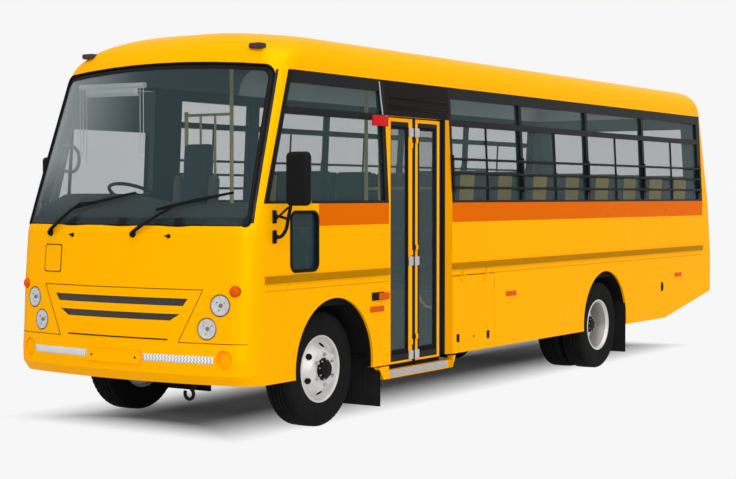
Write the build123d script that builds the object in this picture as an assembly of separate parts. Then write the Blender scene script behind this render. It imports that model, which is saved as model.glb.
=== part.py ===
from build123d import *
import math
import os

# School bus, built in millimetres with x measured from the front axle, y to the bus's left and z from the road.
# Every piece is moved to the shared frame, whose origin is the middle of the box at road level, as it is written.

FRONT_OVERHANG = 1180
REAR_OVERHANG = 2920
WHEELBASE = 4700
LENGTH = FRONT_OVERHANG + WHEELBASE + REAR_OVERHANG
FRAME_SHIFT = LENGTH / 2 - FRONT_OVERHANG
NOSE = FRONT_OVERHANG - 8
TAIL = 20 - WHEELBASE - REAR_OVERHANG

WALL = 45
HALF_WIDTH = 1100
INNER_SIDE = HALF_WIDTH - WALL
SURROUND_IN = HALF_WIDTH - 100
BEYOND = HALF_WIDTH + 100
AHEAD = NOSE + 330
WAIST_TOP = 1644
ROOF_EDGE = 2590
ROOF_EDGE_HALF = HALF_WIDTH - 50
BUMPER_TOP = 690
SKIRT = 400
FLOOR_TOP = 960
FLOOR_UNDER = 920
BOW_R = 4680
FRONT_CORNER_R = 180
REAR_CORNER_R = 70

# Body sections at rising heights: z, front at the centre, half width, rear
BODY_SECTIONS = [
    (SKIRT, NOSE - 62, HALF_WIDTH, TAIL),
    (470, NOSE - 4, HALF_WIDTH, TAIL),
    (580, NOSE, HALF_WIDTH, TAIL),
    (BUMPER_TOP, NOSE - 10, HALF_WIDTH, TAIL),
    (1060, NOSE - 26, HALF_WIDTH, TAIL),
    (1440, NOSE - 60, HALF_WIDTH, TAIL + 61),
    (WAIST_TOP, NOSE - 132, HALF_WIDTH, TAIL + 94),
    (ROOF_EDGE, NOSE - 467, ROOF_EDGE_HALF, TAIL + 245),
]
# Roof sections: z, front at the centre, rear, radius of the front corners
ROOF_SECTIONS = [
    (ROOF_EDGE, NOSE - 467, TAIL + 245, FRONT_CORNER_R),
    (2690, NOSE - 510, TAIL + 262, FRONT_CORNER_R),
    (2770, NOSE - 566, TAIL + 284, 260),
    (2835, NOSE - 645, TAIL + 320, 340),
    (2880, NOSE - 747, TAIL + 376, 420),
    (2908, NOSE - 882, TAIL + 460, 500),
    (2925, NOSE - 1072, TAIL + 590, 580),
]

# Rows of panes behind the passenger door: front edge, rear edge
SIDE_REAR = TAIL + 310
POST_FRONT = -722
POST_REAR = -1690
FIRST_PANE = POST_REAR - 42
LAST_PANE = SIDE_REAR + 100
PILLAR_SHARES = (0.2243, 0.4745, 0.7221)
PILLARS = [round(FIRST_PANE + share * (LAST_PANE - FIRST_PANE)) for share in PILLAR_SHARES]
PILLAR_HALF = 25
PANE_FRONTS = [FIRST_PANE] + [x - PILLAR_HALF for x in PILLARS]
PANE_REARS = [x + PILLAR_HALF for x in PILLARS] + [LAST_PANE]
LEFT_PANES = list(zip(PANE_FRONTS, PANE_REARS))
RIGHT_PANES = [(-784, -1721), (-1861, PANE_REARS[0])] + LEFT_PANES[1:]
PANE_LOW = 1664
PANE_MID_LOW = 2275
PANE_MID_HIGH = 2325
PANE_HIGH = 2500

MASK_REAR = NOSE - 315
PILLAR_FOOT = NOSE - 327
PILLAR_HEAD = NOSE - 672

TYRE_R = 426
TYRE_HALF = 115
RIM_R = 235
FRONT_TYRE_Y = HALF_WIDTH - 240
REAR_TYRE_YS = (HALF_WIDTH - 181, HALF_WIDTH - 439)
KINGPIN_Y = HALF_WIDTH - 400
KINGPIN_R = 20
SPINDLE_R = 30
REAR_SPINDLE_R = 40
RUNNING_GAP = 0.3

RAIL_OUT = round(0.327 * HALF_WIDTH)
RAIL_IN = RAIL_OUT - 60
COVER_HALF = RAIL_OUT - 10
RAIL_LOW, RAIL_HIGH = 550, 740
SPRING_SEAT = 501

LEAF_OUT, LEAF_IN = HALF_WIDTH - 55, HALF_WIDTH - 91
LEAF_LOW, LEAF_HIGH = 388, 2306


def box(x0, x1, y0, y1, z0, z1):
    middle = ((x0 + x1) / 2, (y0 + y1) / 2, (z0 + z1) / 2)
    return Pos(*middle) * Box(abs(x1 - x0), abs(y1 - y0), abs(z1 - z0))


def prism_xz(points, y0, y1):
    wire = Wire.make_polygon([(x, y0, z) for x, z in points], close=True)
    return Solid.extrude(Face(wire), Vector(0, y1 - y0, 0))


def prism_yz(points, x0, x1):
    wire = Wire.make_polygon([(x0, y, z) for y, z in points], close=True)
    return Solid.extrude(Face(wire), Vector(x1 - x0, 0, 0))


def prism_xy(points, z0, z1):
    wire = Wire.make_polygon([(x, y, z0) for x, y in points], close=True)
    return Solid.extrude(Face(wire), Vector(0, 0, z1 - z0))


def rounded_yz(points, radius, x0, x1):
    wire = Wire.make_polygon([(x0, y, z) for y, z in points], close=True)
    wire = wire.fillet_2d(radius, wire.vertices())
    return Solid.extrude(Face(wire), Vector(x1 - x0, 0, 0))


def rounded_xz(points, radius, y0, y1):
    wire = Wire.make_polygon([(x, y0, z) for x, z in points], close=True)
    wire = wire.fillet_2d(radius, wire.vertices())
    return Solid.extrude(Face(wire), Vector(0, y1 - y0, 0))


def rod(start, end, radius):
    way = Vector(*end) - Vector(*start)
    return Solid.make_cylinder(radius, way.length, Plane(origin=start, z_dir=way))


def across(x, z, radius, y0, y1):
    return rod((x, y0, z), (x, y1, z), radius)


def turned(points, x, y, z):
    profile = Face(Wire.make_polygon([(r, w, 0) for r, w in points], close=True))
    return Pos(x, y, z) * Solid.revolve(profile, 360, Axis.Y)


def mirrored(shape):
    return shape.mirror(Plane.XZ)


def joined(pieces):
    whole = pieces[0]
    for piece in pieces[1:]:
        whole = whole + piece
    return whole


def plan_wire(z, front, half, rear, inset, front_corner=FRONT_CORNER_R):
    bow = BOW_R - inset
    corner = front_corner - inset
    tail = REAR_CORNER_R - inset
    nose = front - inset
    side = half - inset
    back = rear + inset
    centre = nose - bow
    reach = math.sqrt((bow - corner) ** 2 - (side - corner) ** 2)
    corner_x = centre + reach
    corner_y = side - corner
    low_angle = math.atan2(corner_y, reach)
    mid_angle = (low_angle + math.pi / 2) / 2
    tip = (centre + bow * math.cos(low_angle), bow * math.sin(low_angle))
    mid = (corner_x + corner * math.cos(mid_angle), corner_y + corner * math.sin(mid_angle))
    tail_x = back + tail
    slant = tail * math.sqrt(0.5)
    tail_mid = (tail_x - slant, side - tail + slant)

    def at(x, y):
        return Vector(x, y, z)

    return Wire([
        Edge.make_three_point_arc(at(tip[0], -tip[1]), at(nose, 0), at(*tip)),
        Edge.make_three_point_arc(at(*tip), at(*mid), at(corner_x, side)),
        Edge.make_line(at(corner_x, side), at(tail_x, side)),
        Edge.make_three_point_arc(at(tail_x, side), at(*tail_mid), at(back, side - tail)),
        Edge.make_line(at(back, side - tail), at(back, tail - side)),
        Edge.make_three_point_arc(at(back, tail - side), at(tail_mid[0], -tail_mid[1]), at(tail_x, -side)),
        Edge.make_line(at(tail_x, -side), at(corner_x, -side)),
        Edge.make_three_point_arc(at(corner_x, -side), at(mid[0], -mid[1]), at(tip[0], -tip[1])),
    ])


def hull(inset, low=0, high=0, above=()):
    rows = BODY_SECTIONS + list(above)
    if low:
        rows = [(rows[0][0] - low,) + rows[0][1:]] + rows[1:]
    if high:
        top = rows[-1]
        rows = rows[:-1] + [(top[0] + high, top[1] - 0.354 * high, top[2] - 0.0529 * high, top[3] + 0.16 * high)]
    return Solid.make_loft([plan_wire(z, f, w, r, inset) for z, f, w, r in rows], True)


def side_y(z):
    lean = (HALF_WIDTH - ROOF_EDGE_HALF) / (ROOF_EDGE - WAIST_TOP)
    return HALF_WIDTH - max(0, z - WAIST_TOP) * lean


OUTER = hull(0)
SHELL = OUTER - hull(WALL, 20, 20)
PANE_SHELL = hull(18) - hull(24, 20, 20)
BROW_ROWS = [(z, front, ROOF_EDGE_HALF, rear) for z, front, rear, _ in ROOF_SECTIONS[1:3]]
SCREEN_SHELL = hull(12, above=BROW_ROWS) - hull(19, 20, 20, above=BROW_ROWS)

MASK_OUTLINE = [
    (MASK_REAR, BUMPER_TOP), (AHEAD, BUMPER_TOP), (AHEAD, ROOF_EDGE),
    (PILLAR_HEAD, ROOF_EDGE), (PILLAR_FOOT, WAIST_TOP), (MASK_REAR, WAIST_TOP),
]
GRILLE_OUTLINE = [(-557, BUMPER_TOP), (557, BUMPER_TOP), (744, 1055), (-744, 1055)]

# Windscreen opening: half width and height of its foot, of its head, then the height of the head's middle
SCREEN_FOOT = (HALF_WIDTH - 58, 1490)
SCREEN_HEAD = (ROOF_EDGE_HALF - 67, 2612)
SCREEN_CROWN = 2660
SCREEN_FOOT_R = 24


def screen_prism(head_r):
    def at(y, z):
        return Vector(NOSE - 900, y, z)

    foot, low = SCREEN_FOOT
    head, high = SCREEN_HEAD
    wire = Wire([
        Edge.make_line(at(-foot, low), at(foot, low)),
        Edge.make_line(at(foot, low), at(head, high)),
        Edge.make_three_point_arc(at(head, high), at(0, SCREEN_CROWN), at(-head, high)),
        Edge.make_line(at(-head, high), at(-foot, low)),
    ])
    wire = wire.fillet_2d(SCREEN_FOOT_R, [corner for corner in wire.vertices() if corner.Z < low + 1])
    wire = wire.fillet_2d(head_r, [corner for corner in wire.vertices() if corner.Z > high - 1])
    return Solid.extrude(Face(wire), Vector(AHEAD - NOSE + 900, 0, 0))


def front_x(z):
    for low, high in zip(BODY_SECTIONS, BODY_SECTIONS[1:]):
        if z <= high[0]:
            break
    return low[1] + (high[1] - low[1]) * (z - low[0]) / (high[0] - low[0])


def nose_x(y, z):
    corner_y = HALF_WIDTH - FRONT_CORNER_R
    reach = math.sqrt((BOW_R - FRONT_CORNER_R) ** 2 - corner_y ** 2)
    centre = front_x(z) - BOW_R
    if y <= BOW_R * corner_y / (BOW_R - FRONT_CORNER_R):
        return centre + math.sqrt(BOW_R ** 2 - y ** 2)
    return centre + reach + math.sqrt(FRONT_CORNER_R ** 2 - (y - corner_y) ** 2)


# Front lamps: y, z, radius, depth of the flat seat behind the nose's surface
HEADLAMPS = [(0.71 * HALF_WIDTH, 790, 78, 16), (0.797 * HALF_WIDTH, 951, 78, 24)]
INDICATORS = [(0.8945 * HALF_WIDTH, 1049, 39, 31)]
FOG_POCKETS = [(HALF_WIDTH - 185, 583, 65, 30)]
LAMP_PROUD = 4

# Side reflectors: x, z
REFLECTORS = [(-551, 839), (POST_REAR - 1026, 845), (TAIL + 1020, 847)]


def lamp_seat(x, y, z, radius, grow):
    return rod((x, y, z), (AHEAD, y, z), radius + grow)


def both_sides(rows):
    return [(nose_x(y, z) - depth, side * y, z, r) for y, z, r, depth in rows for side in (1, -1)]


def front_mask():
    mask = SHELL & prism_xz(MASK_OUTLINE, -BEYOND, BEYOND)
    mask = mask - screen_prism(80)
    mask = mask - prism_yz(GRILLE_OUTLINE, NOSE - 270, AHEAD)
    for lamp in both_sides(HEADLAMPS + INDICATORS):
        mask = mask - lamp_seat(*lamp, RUNNING_GAP)
    return mask


def grille_panel():
    panel = SHELL & prism_yz(GRILLE_OUTLINE, NOSE - 270, AHEAD)
    slots = [
        [(-588, 940), (588, 940), (625, 992), (-625, 992)],
        [(-483, 837), (483, 837), (564, 884), (-564, 884)],
    ]
    for slot in slots:
        panel = panel - prism_yz(slot, NOSE - 270, AHEAD)
    return panel


def front_bumper():
    bumper = SHELL & box(MASK_REAR, AHEAD, -BEYOND, BEYOND, SKIRT, BUMPER_TOP)
    for pocket in both_sides(FOG_POCKETS):
        bumper = bumper - lamp_seat(*pocket, 0)
    return bumper - plate_bolts(PLATE_BOLT_R + 1)[0] - plate_bolts(PLATE_BOLT_R + 1)[1]


PLATE_BOLT_R = 5


def plate_bolts(radius):
    return [rod((NOSE - 120, side * 205, 570), (AHEAD, side * 205, 570), radius) for side in (1, -1)]


def plate_holder():
    holder = box(FRONT_OVERHANG - 30, FRONT_OVERHANG, -250, 250, 525, 615) - OUTER
    for bolt in plate_bolts(PLATE_BOLT_R):
        holder = holder - bolt
    return holder


def roof_solid(inset):
    crown = 2920 - inset
    shoulder = (ROOF_EDGE_HALF - 250 - inset * 0.25, 2868 - inset * 0.97)
    bend = (ROOF_EDGE_HALF - 68 - inset * 0.75, 2798 - inset * 0.66)
    cant = (ROOF_EDGE_HALF - 6 - inset, 2650)
    foot = (ROOF_EDGE_HALF - inset, ROOF_EDGE - (20 if inset else 0))
    start = TAIL - 100

    def at(y, z):
        return Vector(start, y, z)

    section = Wire([
        Edge.make_line(at(-foot[0], foot[1]), at(*foot)),
        Edge.make_line(at(*foot), at(*cant)),
        Edge.make_three_point_arc(at(*cant), at(*bend), at(*shoulder)),
        Edge.make_three_point_arc(at(*shoulder), at(0, crown), at(-shoulder[0], shoulder[1])),
        Edge.make_three_point_arc(at(-shoulder[0], shoulder[1]), at(-bend[0], bend[1]), at(-cant[0], cant[1])),
        Edge.make_line(at(-cant[0], cant[1]), at(-foot[0], foot[1])),
    ])
    tunnel = Solid.extrude(Face(section), Vector(LENGTH + 400, 0, 0))
    wide = ROOF_EDGE_HALF + (40 if inset else 4)
    rows = [(z - inset * (0.2 + 0.11 * n), f, wide, r, c) for n, (z, f, r, c) in enumerate(ROOF_SECTIONS)]
    if inset:
        rows[0] = (ROOF_EDGE - 20,) + rows[0][1:]
    dome = Solid.make_loft([plan_wire(z, f, w, r, inset, c) for z, f, w, r, c in rows], True)
    return tunnel & dome


def roof():
    return roof_solid(0) - roof_solid(WALL) - screen_prism(80)


def tail_cut():
    rise = TAIL + 1381
    behind = TAIL - 100
    return prism_xz([(rise, SKIRT - 20), (behind, SKIRT - 20), (behind, 652), (rise, SKIRT)], -BEYOND, BEYOND)


def rear_wall():
    wall = SHELL & box(TAIL - 100, SIDE_REAR, -BEYOND, BEYOND, SKIRT, ROOF_EDGE)
    return wall - tail_cut() - rear_pane_tool()


def rear_pane_tool():
    half = HALF_WIDTH - 280
    return box(TAIL - 100, TAIL + 300, -half, half, 1720, 2470)


def rear_glass():
    return PANE_SHELL & rear_pane_tool()


def rear_bumper():
    half = HALF_WIDTH - 160
    return box(TAIL - 20, TAIL, -half, half, 660, 800)


def arch(x, z):
    return across(x, z, 500, -BEYOND, BEYOND)


FILLER_RUN = (TAIL + 1440, TAIL + 1494)


def lower_side(side):
    near, far = (0, BEYOND) if side > 0 else (-BEYOND, 0)
    wall = SHELL & box(SIDE_REAR, MASK_REAR, near, far, SKIRT, WAIST_TOP)
    wall = wall - arch(0, 455) - arch(-WHEELBASE - 7, 460) - tail_cut()
    return wall - box(*FILLER_RUN, near, far, 692, 785)


def left_side():
    wall = lower_side(1)
    wall = wall - box(POST_FRONT, POST_REAR, 0, BEYOND, 300, 1700)
    kerb = [(226, 1167), (555, 1167), (555, 1585), (226, 1585)]
    wall = wall - rounded_xz(kerb, 55, HALF_WIDTH - 200, BEYOND)
    wall = wall - box(-2415, POST_REAR - 10, HALF_WIDTH - 200, BEYOND, 300, 1042)
    return joined([wall] + flap_hinges()[0])


def right_side():
    wall = lower_side(-1)
    wall = wall - box(DRIVER_REAR - 6, DRIVER_FRONT + 6, -BEYOND, 200 - HALF_WIDTH, 999, 1700)
    return joined([wall] + driver_hinges()[0])


FLAP_HINGE = (HALF_WIDTH + 10, 1039)
FLAP_HINGES = [-1900, -2300]
DRIVER_FRONT = MASK_REAR - 112
DRIVER_REAR = -442
DRIVER_HINGE = (DRIVER_FRONT + 7, -HALF_WIDTH - 12)
DRIVER_HINGES = [1160, 1458]


def flap_hinges():
    fixed, moving = [], []
    y, z = FLAP_HINGE
    for x in FLAP_HINGES:
        held, turning = hinge((x, y, z), Vector(1, 0, 0), 5, 2.5)
        fixed += [held, box(x, x + HINGE_HALF, HALF_WIDTH, y, z + 3, z + 45)]
        moving += [turning, box(x + HINGE_HALF + RUNNING_GAP, x + 2 * HINGE_HALF, HALF_WIDTH, y, z - 45, z - 3)]
    return fixed, moving


def driver_hinges():
    fixed, moving = [], []
    x, y = DRIVER_HINGE
    half = 28
    for z in DRIVER_HINGES:
        held, turning = hinge((x, y, z + 2 * half), Vector(0, 0, -1), 7, 3.5, half)
        fixed += [held, box(x + 3, x + 22, -HALF_WIDTH, y, z + half, z + 2 * half)]
        moving += [turning, box(x - 45, x - 5, -HALF_WIDTH, y, z, z + half - RUNNING_GAP)]
    return fixed, moving


def side_flap():
    flap = SHELL & box(-2409, POST_REAR - 16, HALF_WIDTH - 200, BEYOND, SKIRT, 1036)
    return joined([flap] + flap_hinges()[1])


def filler_cap():
    cap = box(*FILLER_RUN, HALF_WIDTH - 38, HALF_WIDTH - 18, 692, 785)
    return [cap, mirrored(cap)]


def front_pane_outline(low, high, rear):
    slope = (PILLAR_FOOT - PILLAR_HEAD) / (ROOF_EDGE - WAIST_TOP)

    def front(z):
        return PILLAR_FOOT - 40 - (z - WAIST_TOP) * slope

    return [(rear, low), (front(low), low), (front(high), high), (rear, high)]


def side_pillar_cut():
    return prism_xz(
        [(SIDE_REAR, WAIST_TOP), (PILLAR_FOOT, WAIST_TOP), (PILLAR_HEAD, ROOF_EDGE), (SIDE_REAR, ROOF_EDGE)],
        -BEYOND, BEYOND)


def pane_tools(panes, near, far):
    tools = []
    for front, rear in panes:
        for low, high in ((PANE_LOW, PANE_MID_LOW), (PANE_MID_HIGH, PANE_HIGH)):
            tools.append(box(rear, front, near, far, low, high))
    return tools


def left_tools():
    tools = pane_tools(LEFT_PANES, HALF_WIDTH - 400, BEYOND)
    for low, high in ((PANE_LOW, PANE_MID_LOW), (PANE_MID_HIGH, PANE_HIGH)):
        tools.append(prism_xz(front_pane_outline(low, high, POST_FRONT + 50), HALF_WIDTH - 400, BEYOND))
    return tools


def right_tools():
    return pane_tools(RIGHT_PANES, -BEYOND, 400 - HALF_WIDTH)


DRIVER_DOOR_OUTLINE = [
    (DRIVER_REAR, 1005), (DRIVER_FRONT, 1005), (DRIVER_FRONT, WAIST_TOP), (DRIVER_FRONT - 333, 2555), (DRIVER_REAR, 2555),
]
DRIVER_DOOR_HOLE = [
    (DRIVER_REAR - 6, 999), (DRIVER_FRONT + 6, 999), (DRIVER_FRONT + 6, WAIST_TOP - 1), (DRIVER_FRONT - 329, 2561),
    (DRIVER_REAR - 6, 2561),
]
DRIVER_WINDOW = [
    (DRIVER_REAR + 60, 1670), (DRIVER_FRONT - 108, 1670), (DRIVER_FRONT - 247, 2218), (DRIVER_REAR + 60, 2218),
]


def driver_prism(outline):
    return prism_xz(outline, -BEYOND, 400 - HALF_WIDTH)


def window_frames(side):
    near, far = (0, BEYOND) if side > 0 else (-BEYOND, 0)
    ring = SHELL & side_pillar_cut() & box(SIDE_REAR, MASK_REAR, near, far, WAIST_TOP, ROOF_EDGE)
    tools = left_tools() if side > 0 else right_tools()
    for tool in tools:
        ring = ring - tool
    if side > 0:
        return ring - box(POST_FRONT, POST_REAR, 0, BEYOND, 1600, 2700)
    return ring - driver_prism(DRIVER_DOOR_HOLE)


def kerb_glass():
    kerb = [(226, 1167), (555, 1167), (555, 1585), (226, 1585)]
    return rounded_xz(kerb, 70, HALF_WIDTH - 24, HALF_WIDTH - 18)


def window_glass():
    panes = [PANE_SHELL & tool for tool in left_tools() + right_tools()]
    return panes + [rear_glass(), kerb_glass()]


def windscreen():
    return SCREEN_SHELL & screen_prism(95)


def driver_door():
    door = SHELL & driver_prism(DRIVER_DOOR_OUTLINE)
    door = door - driver_prism(DRIVER_WINDOW)
    return joined([door] + driver_hinges()[1])


def driver_door_glass():
    return PANE_SHELL & driver_prism(DRIVER_WINDOW)


# Passenger door: two leaves that fold inwards
def door_surround():
    post = box(-745, POST_FRONT, SURROUND_IN, BEYOND, 352, ROOF_EDGE)
    bevel = [(-1602, SURROUND_IN), (-1602, HALF_WIDTH - 50), (POST_REAR, HALF_WIDTH), (POST_REAR, SURROUND_IN)]
    jamb = prism_xy(bevel, 352, ROOF_EDGE)
    header = box(POST_FRONT, POST_REAR, SURROUND_IN, BEYOND, 2318, ROOF_EDGE)
    sill = prism_xz([(-648, 290), (-1702, 290), (-1748, 384), (-1690, 384), (-1690, 352), (-722, 352), (-722, 388),
                     (-580, 388)], INNER_SIDE, HALF_WIDTH)
    surround = joined([(post + jamb + header) & hull(0), sill])
    return surround - leaf_pivot(RUNNING_GAP)[1]


# Leaf edges: front, rear, then the pane's front and rear
LEAVES = {"front": (-760, -1165, -835, -1090), "rear": (-1181, -1589, -1255, -1515)}
PANE_Z = (455, 2245)
LEAF_PIVOT = (-775, HALF_WIDTH - 73)
FOLD_LINE = (-1173, HALF_WIDTH - 47)
FOLD_HINGES = [520, 1230, 2080]
HINGE_HALF = 40


def hinge(start, way, radius, pin, half=HINGE_HALF):
    """The half with the pin, then the half that turns on it."""
    start = Vector(*start)
    middle = start + way * half
    end = middle + way * half
    held = rod(start, middle, radius) + rod(start, end, pin)
    turning_start = middle + way * RUNNING_GAP
    turning = rod(turning_start, end, radius) - rod(turning_start, end, pin + RUNNING_GAP)
    return held, turning


def fold_hinges():
    fixed, moving = [], []
    x, y = FOLD_LINE
    for z in FOLD_HINGES:
        held, turning = hinge((x, y, z), Vector(0, 0, 1), 6, 3)
        fixed += [held, box(x + 4, x + 60, LEAF_OUT, y, z, z + HINGE_HALF)]
        moving += [turning, box(x - 60, x - 4, LEAF_OUT, y, z + HINGE_HALF + RUNNING_GAP, z + 2 * HINGE_HALF)]
    return fixed, moving


def leaf_pivot(grow):
    x, y = LEAF_PIVOT
    return rod((x, y, 336 - grow), (x, y, LEAF_LOW), 9 + grow), rod((x, y, LEAF_HIGH), (x, y, 2340 + grow), 9 + grow)


def door_leaf(name):
    front, rear, pane_front, pane_rear = LEAVES[name]
    leaf = box(rear, front, LEAF_IN, LEAF_OUT, LEAF_LOW, LEAF_HIGH)
    leaf = leaf - box(pane_rear, pane_front, HALF_WIDTH - 200, BEYOND, *PANE_Z)
    fixed, moving = fold_hinges()
    if name == "front":
        return joined([leaf] + fixed + list(leaf_pivot(0)))
    return joined([leaf] + moving)


def door_glass(name):
    front, rear, pane_front, pane_rear = LEAVES[name]
    return box(pane_rear, pane_front, HALF_WIDTH - 76, HALF_WIDTH - 70, *PANE_Z)


# Inner faces of the steps' risers, and the sheet that they are bent from
STEP_RISERS = (HALF_WIDTH - 530, HALF_WIDTH - 735, HALF_WIDTH - 1010)
STEP_SHEET = 20


def step_well():
    first, second, inner = STEP_RISERS
    tread = STEP_SHEET
    under = [
        (inner, FLOOR_UNDER), (inner, 765 - tread), (second, 765 - tread), (second, 560 - tread), (first, 560 - tread), (first, 330),
    ]
    stair = [
        (INNER_SIDE, 330), (INNER_SIDE, 350), (first + tread, 350), (first + tread, 560), (second + tread, 560),
        (second + tread, 765), (inner + tread, 765), (inner + tread, FLOOR_UNDER),
    ] + under
    walls = [(SURROUND_IN, 330), (SURROUND_IN, FLOOR_UNDER)] + under
    well = joined([
        prism_yz(stair, -1622, -725),
        prism_yz(walls, -745, -725),
        prism_yz(walls, -1622, -1602),
    ])
    return well - leaf_pivot(RUNNING_GAP)[0]


# Cross bearers under the floor: x, near y, far y
BEARER_HALF = HALF_WIDTH - 60
BEARERS = [
    (600, 320, BEARER_HALF), (600, -BEARER_HALF, -320), (-1200, -BEARER_HALF, STEP_RISERS[2] - 30), (-WHEELBASE, -RAIL_OUT - 10, RAIL_OUT + 10),
]
FULL_BEARERS = [-600, -1780, -0.528 * WHEELBASE, -0.702 * WHEELBASE, 481 - WHEELBASE, -484 - WHEELBASE, TAIL + 1700, TAIL + 1000,
                TAIL + 350]
BEARERS += [(x, -BEARER_HALF, BEARER_HALF) for x in FULL_BEARERS]


def floor():
    stern_half = HALF_WIDTH - 160
    deck = box(TAIL + 150, MASK_REAR - 7, -INNER_SIDE, INNER_SIDE, FLOOR_UNDER, FLOOR_TOP)
    deck = deck + box(TAIL + 45, TAIL + 150, -stern_half, stern_half, FLOOR_UNDER, FLOOR_TOP)
    deck = deck - box(-330, NOSE, 30 - COVER_HALF, COVER_HALF - 30, 900, 1000)
    deck = deck - box(-1622, -725, STEP_RISERS[2], BEYOND, 900, 1000)
    deck = deck - box(-1692, -720, SURROUND_IN, BEYOND, 900, 1000)
    deck = deck - box(-2425, -1680, INNER_SIDE - 10, BEYOND, 900, 1000)
    bearers = [box(x - 30, x + 30, near, far, RAIL_HIGH, FLOOR_UNDER) for x, near, far in BEARERS]
    return joined([deck] + bearers)


# Cross members of the ladder frame: x, low, high
MEMBERS = [(NOSE - 377, RAIL_LOW, 600)]
MEMBERS += [(x, 570, 720) for x in (-1100, -0.447 * WHEELBASE, -0.681 * WHEELBASE, -800 - WHEELBASE, TAIL + 600)]


def chassis_frame():
    rails = [box(TAIL + 300, NOSE - 272, side * RAIL_IN, side * RAIL_OUT, RAIL_LOW, RAIL_HIGH) for side in (1, -1)]
    members = [box(x - 40, x + 40, -RAIL_IN, RAIL_IN, low, high) for x, low, high in MEMBERS]
    return joined(rails + members)


def engine():
    block_half = RAIL_IN - 60
    gearbox_half = RAIL_IN - 130
    block = box(-330, NOSE - 612, -block_half, block_half, 470, 1190)
    gearbox = box(-950, -330, -gearbox_half, gearbox_half, 430, 735)
    feet = [box(60, 160, -RAIL_IN, RAIL_IN, 600, 680), box(-760, -680, -RAIL_IN, RAIL_IN, 600, 680)]
    return joined([block, gearbox] + feet)


def radiator():
    return box(NOSE - 412, NOSE - 342, 10 - RAIL_IN, RAIL_IN - 10, 600, 1010)


def propeller_shaft():
    return rod((-950, 0, 500), (260 - WHEELBASE, 0, 500), 42)


def leaf_springs():
    packs = []
    for x in (0, -WHEELBASE):
        outline = [(x - 640, 535), (x - 80, SPRING_SEAT), (x + 80, SPRING_SEAT), (x + 640, 535), (x + 640, RAIL_LOW),
                   (x + 560, RAIL_LOW), (x + 300, 541), (x - 300, 541), (x - 560, RAIL_LOW), (x - 640, RAIL_LOW)]
        for side in (1, -1):
            packs.append(prism_xz(outline, side * RAIL_IN, side * RAIL_OUT))
    return packs


def front_axle():
    pieces = [box(-45, 45, 100 - KINGPIN_Y, KINGPIN_Y - 100, 340, 420)]
    for side in (1, -1):
        pieces.append(box(-80, 80, side * RAIL_IN, side * RAIL_OUT, 400, SPRING_SEAT))
        pieces.append(box(-40, 40, side * (KINGPIN_Y - 140), side * (KINGPIN_Y - 10), 385, 465))
        pieces.append(rod((0, side * KINGPIN_Y, 380), (0, side * KINGPIN_Y, 470), 45))
    beam = joined(pieces)
    for side in (1, -1):
        beam = beam - rod((0, side * KINGPIN_Y, 300), (0, side * KINGPIN_Y, 600), KINGPIN_R + RUNNING_GAP)
    return beam


def knuckle():
    pieces = [
        rod((0, KINGPIN_Y, 350), (0, KINGPIN_Y, 500), KINGPIN_R),
        rod((0, KINGPIN_Y, 350), (0, KINGPIN_Y, 374), 45),
        rod((0, KINGPIN_Y, 476), (0, KINGPIN_Y, 500), 45),
        box(-45, 45, KINGPIN_Y, KINGPIN_Y + 56, 350, 374),
        box(-45, 45, KINGPIN_Y, KINGPIN_Y + 56, 476, 500),
        box(-45, 45, KINGPIN_Y + 53, KINGPIN_Y + 78, 350, 500),
        rod((0, KINGPIN_Y + 70, TYRE_R), (0, KINGPIN_Y + 210, TYRE_R), SPINDLE_R),
    ]
    return joined(pieces)


def rear_axle():
    pieces = [
        across(-WHEELBASE, TYRE_R, 75, 181 - REAR_TYRE_YS[1], REAR_TYRE_YS[1] - 181),
        across(-WHEELBASE, TYRE_R, REAR_SPINDLE_R, 19 - REAR_TYRE_YS[0], REAR_TYRE_YS[0] - 19),
        across(-WHEELBASE, TYRE_R, 165, -110, 110),
        box(140 - WHEELBASE, 260 - WHEELBASE, -70, 70, 420, 570),
    ]
    for side in (1, -1):
        pieces.append(box(-WHEELBASE - 80, 80 - WHEELBASE, side * RAIL_IN, side * RAIL_OUT, TYRE_R, SPRING_SEAT))
    return joined(pieces)


def tyre(x, y):
    half_tread = 95
    profile = [
        (RIM_R, -92), (345, -TYRE_HALF), (TYRE_R, -half_tread), (TYRE_R, half_tread), (345, TYRE_HALF), (RIM_R, 92),
    ]
    return turned(profile, x, y, TYRE_R)


def front_rim():
    bore = SPINDLE_R + RUNNING_GAP
    profile = [
        (bore, -74), (RIM_R, -74), (RIM_R, 98), (216, 98), (204, 48), (78, 40), (78, 100), (0, 100), (0, 60), (bore, 60),
    ]
    return turned(profile, 0, FRONT_TYRE_Y, TYRE_R)


def rear_rim():
    bore = REAR_SPINDLE_R + RUNNING_GAP
    outer, inner = REAR_TYRE_YS
    low = inner - 98 - outer
    profile = [
        (bore, low), (RIM_R, low), (RIM_R, 98), (216, 98), (200, -62), (100, -62), (100, 50), (0, 50), (0, -10), (bore, -10),
    ]
    return turned(profile, -WHEELBASE, outer, TYRE_R)


def rear_tyres():
    return [tyre(-WHEELBASE, y) for y in REAR_TYRE_YS]


def fuel_tank():
    tank = box(-3150, -2150, 140 - HALF_WIDTH, -RAIL_OUT - 60, 420, 730)
    straps = [box(x - 40, x + 40, -RAIL_OUT - 70, -RAIL_OUT, 560, 720) for x in (-2350, -2950)]
    return joined([tank] + straps)


def exhaust():
    front = 2000 - WHEELBASE
    y = RAIL_OUT + 200
    pieces = [
        rod((front, y, 560), (front - 900, y, 560), 95),
        rod((front - 900, y, 560), (front - 1200, y, 560), 38),
        rod((-1700, y, 560), (front, y, 560), 38),
        box(front - 200, front - 140, RAIL_OUT, y, 600, 640),
        box(front - 760, front - 700, RAIL_OUT, y, 600, 640),
    ]
    return joined(pieces)


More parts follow.
